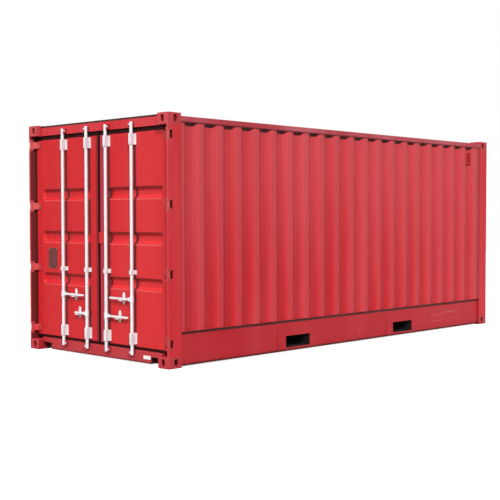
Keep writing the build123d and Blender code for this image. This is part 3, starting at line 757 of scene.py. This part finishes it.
def unit(vectors):
    """Vectors scaled to length one."""
    return vectors / np.linalg.norm(vectors, axis=-1, keepdims=True)


def softened(corners):
    """Round a line's inner corners: (1-t)^2 A + 2t(1-t) B + t^2 C, with A and C a radius from B."""
    corner = corners[1:-1]
    back, on = unit(corners[:-2] - corner), unit(corners[2:] - corner)
    start, end = corner + BEND_RADIUS * back, corner + BEND_RADIUS * on
    t = np.linspace(0, 1, BEND_STEPS + 1)[None, :, None]
    arc = (1 - t) ** 2 * start[:, None] + 2 * t * (1 - t) * corner[:, None] + t**2 * end[:, None]
    lead = (start + BEND_SUPPORT * back)[:, None]
    trail = (end + BEND_SUPPORT * on)[:, None]
    bends = np.concatenate([lead, arc, trail], axis=1).reshape(-1, 2)
    return np.concatenate([corners[:1], bends, corners[-1:]])


def corrugated_line(start, end, count, lead, flat, slope, recess, depth):
    """Corners of a line, flat at both ends: (distance, depth) pairs, one groove every pitch."""
    pitch = flat + recess + 2 * slope
    step = np.array([0, slope, slope + recess, 2 * slope + recess])
    distance = (start + lead + pitch * np.arange(count)[:, None] + step).ravel()
    level = np.tile([0, depth, depth, 0], count)
    return np.concatenate([[(start, 0)], np.column_stack([distance, level]), [(end, 0)]])


def dents(across, up, seed, count, size, depth):
    """Sum of hollows: depth * exp(-((x-a)^2 + (z-b)^2) / size^2), with places from a fixed seed."""
    dice = np.random.default_rng(seed)
    a = dice.uniform(across.min(), across.max(), count)
    b = dice.uniform(up.min(), up.max(), count)
    strength = dice.uniform(*DENT_STRENGTHS, count)
    spread = size * dice.uniform(*DENT_SPREADS, count)
    away = (across[..., None] - a) ** 2 + (up[..., None] - b) ** 2
    return depth * np.sum(strength * np.exp(-away / spread**2), axis=-1)


def carried_sheet(line, low, high, seed):
    """Carry a line from low to high as a thin sheet: points (distance, level, height), dented."""
    heights = np.linspace(low, high, WALL_ROWS)
    tangent = np.gradient(line, axis=0)
    normal = unit(np.column_stack([-tangent[:, 1], tangent[:, 0]]))
    distance, up = np.broadcast_arrays(line[None, :, 0], heights[:, None])
    edge = np.minimum(up - low, high - up)
    push = dents(distance, up, seed, **WALL_DENTS) * np.clip(edge / DENT_EDGE, 0, 1)
    outer = np.stack([distance, line[None, :, 1] + push, up], axis=-1)
    return outer, outer + SHEET * np.column_stack([normal, np.zeros(len(line))])[None]


print("bend radius", BEND_RADIUS, "sheet", SHEET)

# %% Side and front walls
SIDE_LEAD, SIDE_FLAT, SIDE_SLOPE, SIDE_RECESS = 0.040, 0.072, 0.068, 0.070
SIDE_PITCH = SIDE_FLAT + SIDE_RECESS + 2 * SIDE_SLOPE
FRONT_PITCHES, FRONT_FLAT_SHARE, FRONT_SLOPE_SHARE = 8, 0.28, 0.22
WALL_SEEDS, FRONT_SEED = {"left": 12, "right": 10}, 31
walls = {}

for side_name, way in SIDES.items():
    wall = f"{side_name}_wall"
    low, high = box_corners(wall)
    count = int((high[0] - low[0] - SIDE_LEAD) // SIDE_PITCH)
    sizes = (SIDE_LEAD, SIDE_FLAT, SIDE_SLOPE, SIDE_RECESS, high[1] - low[1] - SHEET)
    line = softened(corrugated_line(low[0], high[0], count, *sizes))
    face = max(way * low[1], way * high[1])
    walls[side_name] = (line, face)
    grids = carried_sheet(line, low[2], high[2], WALL_SEEDS[side_name])
    placed = [np.stack([g[..., 0], way * (face - g[..., 1]), g[..., 2]], axis=-1) for g in grids]
    shape = closed_sheet(*placed)
    make_piece(f"{side_name}_wall_sheet", shape, "frame", "red_paint", [wall], "wall_paint")

low, high = box_corners("front_wall")
pitch = (high[1] - low[1]) / (FRONT_PITCHES + FRONT_FLAT_SHARE)
flat = FRONT_FLAT_SHARE * pitch
sizes = (flat, flat, FRONT_SLOPE_SHARE * pitch, flat, high[0] - low[0] - SHEET)
line = softened(corrugated_line(low[1], high[1], FRONT_PITCHES, *sizes))
grids = carried_sheet(line, low[2], high[2], FRONT_SEED)
placed = [np.stack([high[0] - g[..., 1], g[..., 0], g[..., 2]], axis=-1) for g in grids]
make_piece("front_wall_sheet", closed_sheet(*placed), "frame", "red_paint", ["front_wall"])

# %% [markdown]
# ## Pressed roof and door panels
# Roof ribs and door bands are pressed into flat sheet, so their ends are closed. A height over a
# flat grid says this best: a smooth step up and down along one axis times a smooth step along the
# other. The grid lines are crowded where the steps are, so flats stay flat.

# %% Pressed sheets
PRESS_STEPS = np.array([0.0, 0.08, 0.2, 0.5, 0.8, 0.92, 1.0])
LINE_DIGITS = 5


def smooth_step(share):
    """3s^2 - 2s^3, held at 0 below and 1 above."""
    s = np.clip(share, 0, 1)
    return s * s * (3 - 2 * s)


def pressed(values, bands, slope):
    """1 inside each (start, end) band and 0 outside, with a smooth slope inside both ends."""
    start, end = np.array(bands).T
    rise = smooth_step((values[:, None] - start) / slope)
    fall = smooth_step((end - values[:, None]) / slope)
    return np.max(rise * fall, axis=1)


def stamped(rows, row_bands, row_slope, columns, column_bands, column_slope):
    """Height over a grid: the pressed profile along its rows times the one along its columns."""
    along_rows = pressed(rows, row_bands, row_slope)
    return along_rows[:, None] * pressed(columns, column_bands, column_slope)[None]


def press_lines(low, high, bands, slope, spare):
    """Grid lines from low to high, crowded on the slopes and at least every spare apart."""
    start, end = np.array(bands).T
    up = (start[:, None] + slope * PRESS_STEPS).ravel()
    down = (end[:, None] - slope * PRESS_STEPS).ravel()
    plain = np.linspace(low, high, int((high - low) / spare) + 2)
    return np.unique(np.round(np.concatenate([up, down, plain]), LINE_DIGITS))


print("press steps:", len(PRESS_STEPS))

# %% Roof
ROOF_RIB, ROOF_GAP, ROOF_RIB_EDGE, ROOF_SLOPE = 0.150, 0.060, 0.130, 0.022
ROOF_SPARE_ALONG, ROOF_SPARE_ACROSS = 0.2, 0.12
ROOF_DENTS = {"seed": 47, "count": 40, "size": 0.25, "depth": -0.002}
ROOF_SAG_EDGE = 0.3
low, high = box_corners("roof")
rail_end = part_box("left_top_rail")[1][0]
rib_pitch = ROOF_RIB + ROOF_GAP
rib_count = int((rail_end - low[0] - ROOF_GAP) / rib_pitch)
rib_start = rib_pitch * (np.arange(rib_count) - (rib_count - 1) / 2) - ROOF_RIB / 2
ribs = np.column_stack([rib_start, rib_start + ROOF_RIB])
width = [(low[1] + ROOF_RIB_EDGE, high[1] - ROOF_RIB_EDGE)]
along = press_lines(low[0], rail_end, ribs, ROOF_SLOPE, ROOF_SPARE_ALONG)
across = press_lines(low[1], high[1], width, ROOF_SLOPE, ROOF_SPARE_ACROSS)
lift = stamped(along, ribs, ROOF_SLOPE, across, width, ROOF_SLOPE)
x, y = np.broadcast_arrays(along[:, None], across[None])
sag = dents(x, y, **ROOF_DENTS) * pressed(across, width, ROOF_SAG_EDGE)[None]
top = np.stack([x, y, low[2] + SHEET + lift * (high[2] - low[2] - SHEET) + sag], axis=-1)
cast_edge = -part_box("door_header")[0][1]
strip_x, strip_y = np.meshgrid([rail_end, high[0]], [-cast_edge, cast_edge], indexing="ij")
strip = np.stack([strip_x, strip_y, np.full((2, 2), low[2] + SHEET)], axis=-1)
roof_shape = joined(*(closed_sheet(upper, upper - [0, 0, SHEET]) for upper in (top, strip)))
make_piece("roof_sheet", roof_shape, "frame", "red_paint", ["roof"])
print("roof ribs:", rib_count)

# %% Door panels
PANEL_SHEET, PANEL_SPARE, PANEL_DENT_EDGE = 0.003, 0.05, 0.15
PANEL_DENTS = {"seed": 61, "count": 14, "size": 0.2, "depth": 0.002}
LEAF_PAINTS = {"left": "door_paint", "right": "right_door_paint"}

for side_name in SIDES:
    door = f"{side_name}_door"
    low, high = box_corners(f"{door}_panel")
    bands = BAND_MIDDLES[:, None] + [-BAND_HEIGHT / 2, BAND_HEIGHT / 2]
    ends = [(low[1] + BAND_END / 2, high[1] - BAND_END / 2)]
    tall, wide = [(low[2], high[2])], [(low[1], high[1])]
    up = press_lines(low[2], high[2], bands, BAND_SLOPE, PANEL_SPARE)
    across = press_lines(low[1], high[1], ends, BAND_END, PANEL_SPARE)
    hollow = stamped(up, bands, BAND_SLOPE, across, ends, BAND_END)
    z, y = np.broadcast_arrays(up[:, None], across[None])
    edge = stamped(up, tall, PANEL_DENT_EDGE, across, wide, PANEL_DENT_EDGE)
    push = dents(y, z, **PANEL_DENTS) * edge
    face = np.stack([low[0] + hollow * (high[0] - low[0] - PANEL_SHEET) + push, y, z], axis=-1)
    shape, paint = closed_sheet(face, face + [PANEL_SHEET, 0, 0]), LEAF_PAINTS[side_name]
    make_piece(f"{door}_sheet", shape, door, "door_paint", [f"{door}_panel"], paint)

# %% [markdown]
# ## Rubber gaskets
# Each leaf wears a rubber strip with two soft lips that press on the frame round the opening. Its
# section is drawn once, as shares of its width and thickness, and carried round the four corners
# of the leaf. At a corner the width counts along both axes, which mitres the strip by itself.

# %% Gasket lips round each leaf
LIP_SHARES = [(0.0, 0.1), (0.35, 0.12), (0.7, 0.0), (0.95, 0.02)]
LIP_SHARES += [(1.0, 0.1), (0.93, 0.18), (0.7, 0.24), (0.5, 0.38)]
GASKET_SECTION = np.array(LIP_SHARES + [(out, 1 - deep) for out, deep in LIP_SHARES[::-1]])


def rectangle_strip(inner, outer, depths, section):
    """Carry a section round a rectangle in Y and Z: its shares go from inner edge to outer edge."""
    out, deep = section.T
    near = inner[0] + out[:, None] * (outer[0] - inner[0])
    far = inner[1] + out[:, None] * (outer[1] - inner[1])
    depth = depths[0] + deep * (depths[1] - depths[0])
    turns = [(near, near), (far, near), (far, far), (near, far), (near, near)]
    loop = [np.column_stack([depth, across[:, 0], up[:, 1]]) for across, up in turns]
    return tubes(np.array(loop)[None])


for side_name in SIDES:
    door = f"{side_name}_door"
    low, high = box_corners(f"{door}_gasket")
    inner = [corner[1:] for corner in box_corners(f"{door}_frame")]
    shape = rectangle_strip(inner, (low[1:], high[1:]), (low[0], high[0]), GASKET_SECTION)
    make_piece(f"{door}_seal", shape, door, "gasket_rubber", [f"{door}_gasket"])

# %% [markdown]
# ## Ventilators
# A small hood over a row of louvres sits in the last groove of each side. The face is again a
# height over a grid: a rounded hood with five slits pressed into it.

# %% Louvred ventilator hoods
VENT_RIM, VENT_DEEP, VENT_SPARE = 0.012, 0.030, 0.02
LOUVRES, LOUVRE_SLOPE, LOUVRE_DEEP, LOUVRE_SHARES = 5, 0.008, 0.55, np.array([0.15, 0.85])
low, high = box_corners("ventilators")
slit_height = (high[2] - low[2] - 4 * VENT_RIM) / LOUVRES
slit_low = low[2] + 2 * VENT_RIM + slit_height * np.arange(LOUVRES)
slits = slit_low[:, None] + slit_height * LOUVRE_SHARES
slit_ends = [(low[0] + 2 * VENT_RIM, high[0] - 2 * VENT_RIM)]
tall, wide = [(low[2], high[2])], [(low[0], high[0])]
up = press_lines(low[2], high[2], np.concatenate([slits, tall]), LOUVRE_SLOPE, VENT_SPARE)
across = press_lines(low[0], high[0], slit_ends + wide, LOUVRE_SLOPE, VENT_SPARE)
hood = stamped(up, tall, VENT_RIM, across, wide, VENT_RIM)
slit = stamped(up, slits, LOUVRE_SLOPE, across, slit_ends, LOUVRE_SLOPE)
rise = VENT_DEEP * hood * (1 - LOUVRE_DEEP * slit)
z, x = np.broadcast_arrays(up[:, None], across[None])
hoods = []
for way, base in ((1, high[1] - VENT_DEEP), (-1, low[1] + VENT_DEEP)):
    face = np.stack([x, base + way * rise, z], axis=-1)
    back = np.stack([x, np.full_like(x, base - way * SHEET), z], axis=-1)
    hoods.append(outwards(closed_sheet(face, back)))
make_piece("ventilator_hoods", joined(*hoods), "frame", "red_paint", ["ventilators"])

# %% [markdown]
# ## Bolts and rivets
# Brackets, catches and hinge straps are bolted through the doors. One head is a small stack of
# rings about its axis; adding an array of centres to that stack makes all the heads of a leaf at
# once, as a single mesh.

# %% Bolt heads on the doors
HEAD_REACH_SHARES = np.array([0.0, 1.0, 1.0, 0.82, 0.45, 0.0])
HEAD_RISE_SHARES = np.array([0.0, 0.0, 0.45, 0.8, 1.0, 1.0])
HEAD_SIDES = 10
OUT_OF_DOOR = np.array([(-1, 0, 0), (0, 1, 0), (0, 0, 1)])
UP_FROM_FLOOR = np.array([(0, 0, 1), (1, 0, 0), (0, 1, 0)])
BOLT, BOLT_RISE, BOLT_INSET = 0.006, 0.005, 0.0065
BRACKET_PLATE, BRACKET_WIDTH, BRACKETS = 0.008, 0.065, ((0.259, 0.120), (2.352, 0.118))
STRAP_PLATE, STRAP_MIDDLE, STRAP_FLAT, STRAP_HEIGHT = 0.010, 1.1125, 0.055, 0.076
HINGES = 0.250 + 0.707 * np.arange(4)


def heads(centres, radius, height, axes=OUT_OF_DOOR):
    """Domed heads: centre + height * rise outwards + radius * reach * (cos, sin) round it."""
    angle = np.linspace(0, 2 * np.pi, HEAD_SIDES, endpoint=False)
    rise, reach = height * HEAD_RISE_SHARES[:, None], radius * HEAD_REACH_SHARES[:, None]
    local = np.stack([rise + 0 * angle, reach * np.cos(angle), reach * np.sin(angle)], axis=-1)
    return tubes(np.asarray(centres)[:, None, None, :] + (local @ axes)[None])


def about(middle, size):
    """Both ends of a span about its middle."""
    return middle - size / 2, middle + size / 2


def plate_bolts(face, plates, inset):
    """Four bolt centres inset from the corners of each plate (y, width, z, height) facing -X."""
    insides = [(y, wide - 2 * inset, z, tall - 2 * inset) for y, wide, z, tall in plates]
    return [(face, a, b) for y, w, z, t in insides for a in about(y, w) for b in about(z, t)]


for side_name, way in SIDES.items():
    door = f"{side_name}_door"
    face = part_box(f"{door}_frame")[0][0]
    plates = [(way * bar, BRACKET_WIDTH, *bracket) for bar in BAR_OFFSETS for bracket in BRACKETS]
    bolts = heads(plate_bolts(face - BRACKET_PLATE, plates, BOLT_INSET), BOLT, BOLT_RISE)
    make_piece(f"{side_name}_bracket_bolts", bolts, door, "galvanised_steel")
    plates = [(way * STRAP_MIDDLE, STRAP_FLAT, z, STRAP_HEIGHT) for z in HINGES]
    bolts = heads(plate_bolts(face - STRAP_PLATE, plates, 2 * BOLT_INSET), BOLT, BOLT_RISE)
    make_piece(f"{side_name}_strap_bolts", bolts, door, "door_paint", finish="hinge_paint")

# %% Rivets and rim of the plates, and screws of the floor
RIVET, RIVET_RISE, RIVET_INSET = 0.004, 0.002, 0.010
RIVETED = {"data_plate": ("left_door", "tag_metal"), "sill_tag": ("frame", "galvanised_steel")}
RIM, RIM_RISE = 0.006, 0.0018
RIM_SHARES = [(0.0, 0.0), (0.1, 0.7), (0.35, 1.0), (0.65, 1.0), (0.9, 0.7), (1.0, 0.0)]
SCREW, SCREW_RISE, SCREW_PITCH, SCREWS_ACROSS, SCREW_EDGE = 0.006, 0.0006, 0.300, 8, 0.10

for node, (body, slot) in RIVETED.items():
    low, high = box_corners(node)
    (_, y, z), (_, wide, tall) = (low + high) / 2, high - low
    rivets = heads(plate_bolts(low[0], [(y, wide, z, tall)], RIVET_INSET), RIVET, RIVET_RISE)
    make_piece(f"{node}_rivets", rivets, body, slot)

low, high = box_corners("data_plate")
inner, outer = (low[1:] + RIM, high[1:] - RIM), (low[1:], high[1:])
rim = rectangle_strip(inner, outer, (low[0], low[0] - RIM_RISE), np.array(RIM_SHARES))
make_piece("data_plate_rim", rim, "left_door", "plate_metal")

low, high = box_corners("floor")
rows = int((high[0] - low[0]) // (2 * SCREW_PITCH))
along = SCREW_PITCH * np.arange(1 - rows, rows)
across = np.linspace(low[1] + SCREW_EDGE, high[1] - SCREW_EDGE, SCREWS_ACROSS)
x, y = np.meshgrid(along, across)
places = np.column_stack([x.ravel(), y.ravel(), np.full(x.size, high[2])])
screws = heads(places, SCREW, SCREW_RISE, UP_FROM_FLOOR)
make_piece("floor_screws", screws, "frame", "galvanised_steel")

# %% [markdown]
# ## Handle catches
# Each handle hangs over a small catch that is bolted to the door: a plate that narrows towards its
# round ends, with a ledge across its middle. The plate's half-width is a function of its height,
# so a grid stretched between its two edges gives the outline without any cutting.

# %% Catch plates with ledges
CATCH_PLATE, CATCH_WIDTH, CATCH_HEIGHT = 0.006, 0.046, 0.131
CATCH_LEDGE, LEDGE_DROP, LEDGE_SOFT = 0.010, 0.016, 0.003
CATCH_NARROWING, CATCH_END_POWER, CATCH_CROWN, CATCH_CROWN_POWER = 0.5, 16, 0.35, 4
CATCH_ROWS, CATCH_COLUMNS = 25, 7
CATCH_BOLT_SPACING = 0.086
SLAB_LINE_SHARES = np.array([0.0, 0.03, 0.12, 0.5, 0.88, 0.97, 1.0])
SLAB_SOFT_SHARES = np.array([1.0, 0.4, 0.0, 0.0, 0.0, 0.4, 1.0])


def backed(front, y, z, back):
    """Closed plate: a front at depths over a grid in Y and Z, and a flat back."""
    outer = np.stack([front, y, z], axis=-1)
    inner = np.stack([np.full_like(y, back), y, z], axis=-1)
    return closed_sheet(outer, inner)


def slab(low, high, soft):
    """Closed box with rounded front edges: a grid drawn back near its rim, and a flat back."""
    across = low[1] + SLAB_LINE_SHARES * (high[1] - low[1])
    up = low[2] + SLAB_LINE_SHARES * (high[2] - low[2])
    y, z = np.broadcast_arrays(across[:, None], up[None])
    drawn = soft * np.maximum(SLAB_SOFT_SHARES[:, None], SLAB_SOFT_SHARES[None])
    return backed(low[0] + drawn, y, z, high[0])


def catch_plate(face, middle_y, middle_z):
    """Plate with half-width w (1 - n t^2) sqrt(1 - t^p) at height t, crowned by u^4 across it."""
    t = np.sin(np.linspace(-np.pi / 2, np.pi / 2, CATCH_ROWS))
    half = CATCH_WIDTH / 2 * (1 - CATCH_NARROWING * t**2) * np.sqrt(1 - t**CATCH_END_POWER)
    u = np.linspace(-1, 1, CATCH_COLUMNS)
    y = middle_y + half[:, None] * u
    z = np.broadcast_to(middle_z + CATCH_HEIGHT / 2 * t[:, None], y.shape)
    front = face - CATCH_PLATE * (1 - CATCH_CROWN * u**CATCH_CROWN_POWER)
    return backed(np.broadcast_to(front, y.shape), y, z, face)


for side_name in SIDES:
    door, catches = f"{side_name}_door", f"{side_name}_handle_catches"
    low, high = box_corners(catches)
    lowest, highest = low[2] + CATCH_HEIGHT / 2, high[2] - CATCH_HEIGHT / 2
    near, far = sorted((low[1] + CATCH_WIDTH / 2, high[1] - CATCH_WIDTH / 2), key=abs)
    parts, centres = [], []
    for y, z in ((near, lowest), (far, highest)):
        left, right = about(y, CATCH_WIDTH)
        top = z - LEDGE_DROP
        ledge = slab((low[0], left, top - CATCH_LEDGE), (high[0], right, top), LEDGE_SOFT)
        parts += [catch_plate(high[0], y, z), ledge]
        centres += [(high[0] - CATCH_PLATE, y, up) for up in about(z, CATCH_BOLT_SPACING)]
    plates, bolts = joined(*parts), heads(centres, BOLT, BOLT_RISE)
    make_piece(f"{side_name}_catch_plates", plates, door, "galvanised_steel", [catches])
    make_piece(f"{side_name}_catch_bolts", bolts, door, "galvanised_steel")

# %% [markdown]
# ## Weld beads
# Thin sheet is welded to the rails and posts all along its edges. A bead is a small ring carried
# along its seam, and the ring swells and shrinks in ripples, one for each stroke of the welder. At
# both ends the ring shrinks to a point, which closes the bead.

# %% Beads along walls and roof
BEAD, BEAD_STEP, BEAD_SIDES = 0.0035, 0.009, 6
RIPPLE, RIPPLE_PITCH = 0.2, 0.036
UPWARD, ALONG = np.array([0, 0, 1]), np.array([1, 0, 0])


def bead(seam, aside=UPWARD):
    """Ring carried along a seam: point + r (cos a, sin a), with r = radius (1 + ripple sin)."""
    run = np.concatenate([[0], np.cumsum(np.linalg.norm(np.diff(seam, axis=0), axis=1))])
    at = np.linspace(0, run[-1], int(run[-1] / BEAD_STEP))
    points = np.stack([np.interp(at, run, seam[:, axis]) for axis in range(3)], axis=-1)
    first = unit(np.cross(np.gradient(points, axis=0), aside))
    angle = np.linspace(0, 2 * np.pi, BEAD_SIDES, endpoint=False)[:, None]
    ring = np.cos(angle) * first[:, None] + np.sin(angle) * aside
    swell = BEAD * (1 + RIPPLE * np.sin(2 * np.pi * at / RIPPLE_PITCH))
    swell[[0, -1]] = 0
    return tubes((points[:, None] + swell[:, None, None] * ring)[None])


roof_low, roof_high = box_corners("roof")
for side_name, way in SIDES.items():
    low, high = box_corners(f"{side_name}_wall")
    line, face = walls[side_name]
    across = way * (face - line[:, 1])
    beads = []
    for z in (low[2], high[2]):
        beads.append(bead(np.column_stack([line[:, 0], across, np.full(len(line), z)])))
    for x in (low[0], high[0]):
        seam = [(x, way * face, z) for z in (low[2], high[2])]
        beads.append(bead(np.array(seam), ALONG))
    roof_seam = [(x, way * roof_high[1], roof_low[2]) for x in (low[0], high[0])]
    beads.append(bead(np.array(roof_seam)))
    make_piece(f"{side_name}_wall_beads", joined(*beads), "frame", "red_paint")

# %% [markdown]
# ## Stage, light and camera
# The photo shows the container cut out on white, seen from a little above eye level near one
# corner. The camera was solved from the container's corners, so its place and lens are plain
# numbers. The floor and the sky look white to the camera, while the light on the steel stays at a
# level where a colour shows about as it is written.

# %% Floor
WHITE = (1.0, 1.0, 1.0, 1.0)
FLOOR_SIZE = 60.0
FLOOR_GLOW = 0.84
FLOOR_SHADE, FLOOR_BOUNCE = (0.45, 0.45, 0.45, 1.0), (0.22, 0.22, 0.22, 1.0)

floor_finish = Finish("studio_floor")
glow = floor_finish.make("ShaderNodeEmission", {}, {"Color": WHITE, "Strength": FLOOR_GLOW})
shade = floor_finish.make("ShaderNodeBsdfDiffuse", {}, {"Color": FLOOR_SHADE})
lit = floor_finish.make("ShaderNodeAddShader", {}, {0: glow, 1: shade})
plain = floor_finish.make("ShaderNodeBsdfDiffuse", {}, {"Color": FLOOR_BOUNCE})
both = floor_finish.make("ShaderNodeMixShader", {}, {0: floor_finish.seen(), 1: plain, 2: lit})
floor_finish.make("ShaderNodeOutputMaterial", {}, {"Surface": both})
half = FLOOR_SIZE / 2
corners = [(-half, -half, 0), (half, -half, 0), (half, half, 0), (-half, half, 0)]
floor_mesh = bpy.data.meshes.new("studio_floor")
floor_mesh.from_pydata(corners, [], [(0, 1, 2, 3)])
studio_floor = bpy.data.objects.new("studio_floor", floor_mesh)
bpy.context.scene.collection.objects.link(studio_floor)
studio_floor.data.materials.append(floor_finish.material)
print("floor", FLOOR_SIZE, "across")

# %% Sky
SKY_LIGHT, SKY_LEVEL, WHITE_LEVEL = (0.95, 0.97, 1.0, 1.0), 0.30, 1.0


class Sky(Finish):
    """The world's node tree, written the same way as a material."""

    def __init__(self, world):
        world.use_nodes = True
        self.tree = world.node_tree
        self.tree.nodes.clear()


world = bpy.data.worlds.new("studio_sky")
bpy.context.scene.world = world
sky = Sky(world)
white = sky.make("ShaderNodeBackground", {}, {"Color": WHITE, "Strength": WHITE_LEVEL})
soft = sky.make("ShaderNodeBackground", {}, {"Color": SKY_LIGHT, "Strength": SKY_LEVEL})
both = sky.make("ShaderNodeMixShader", {}, {0: sky.seen(), 1: soft, 2: white})
sky.make("ShaderNodeOutputWorld", {}, {"Surface": both})
print("sky level", SKY_LEVEL)

# %% Lamps
LAMPS = {
    "key_light": {"place": (-9.0, 0.3, 7.5), "spread": 4.0, "strength": 1.5},
    "side_light": {"place": (-6.5, -9.5, 8.0), "spread": 6.0, "strength": 2.7},
    "back_light": {"place": (7.0, 10.0, 6.0), "spread": 30.0, "strength": 1.3},
}

for name, sizes in LAMPS.items():
    lamp = bpy.data.lights.new(name, "SUN")
    lamp.angle = math.radians(sizes["spread"])
    lamp.energy = sizes["strength"]
    holder = bpy.data.objects.new(name, lamp)
    holder.location = sizes["place"]
    holder.rotation_euler = (-Vector(sizes["place"])).to_track_quat("-Z", "Y").to_euler()
    bpy.context.scene.collection.objects.link(holder)
print("lamps:", ", ".join(LAMPS))

# %% Camera
CAMERA_PLACE = Vector((-9.7737, -8.8532, 1.5487))
AZIMUTH, ELEVATION, ROLL = (math.radians(angle) for angle in (-46.072, 1.934, -0.076))
LENS, SENSOR, FAR_CLIP = 72.935, 36.0, 200.0

right = Vector((math.cos(AZIMUTH), math.sin(AZIMUTH), 0))
level_back = Vector((math.sin(AZIMUTH), -math.cos(AZIMUTH), 0))
back = level_back * math.cos(ELEVATION) + Vector((0, 0, math.sin(ELEVATION)))
turn = Matrix((right, back.cross(right), back)).transposed() @ Matrix.Rotation(ROLL, 3, "Z")
camera_data = bpy.data.cameras.new("camera")
camera_data.lens = LENS
camera_data.sensor_width = SENSOR
camera_data.clip_end = FAR_CLIP
camera = bpy.data.objects.new("camera", camera_data)
camera.matrix_world = Matrix.Translation(CAMERA_PLACE) @ turn.to_4x4()
bpy.context.scene.collection.objects.link(camera)
bpy.context.scene.camera = camera
bpy.context.scene.view_settings.view_transform = "Standard"
print("camera at", tuple(round(value, 3) for value in CAMERA_PLACE))
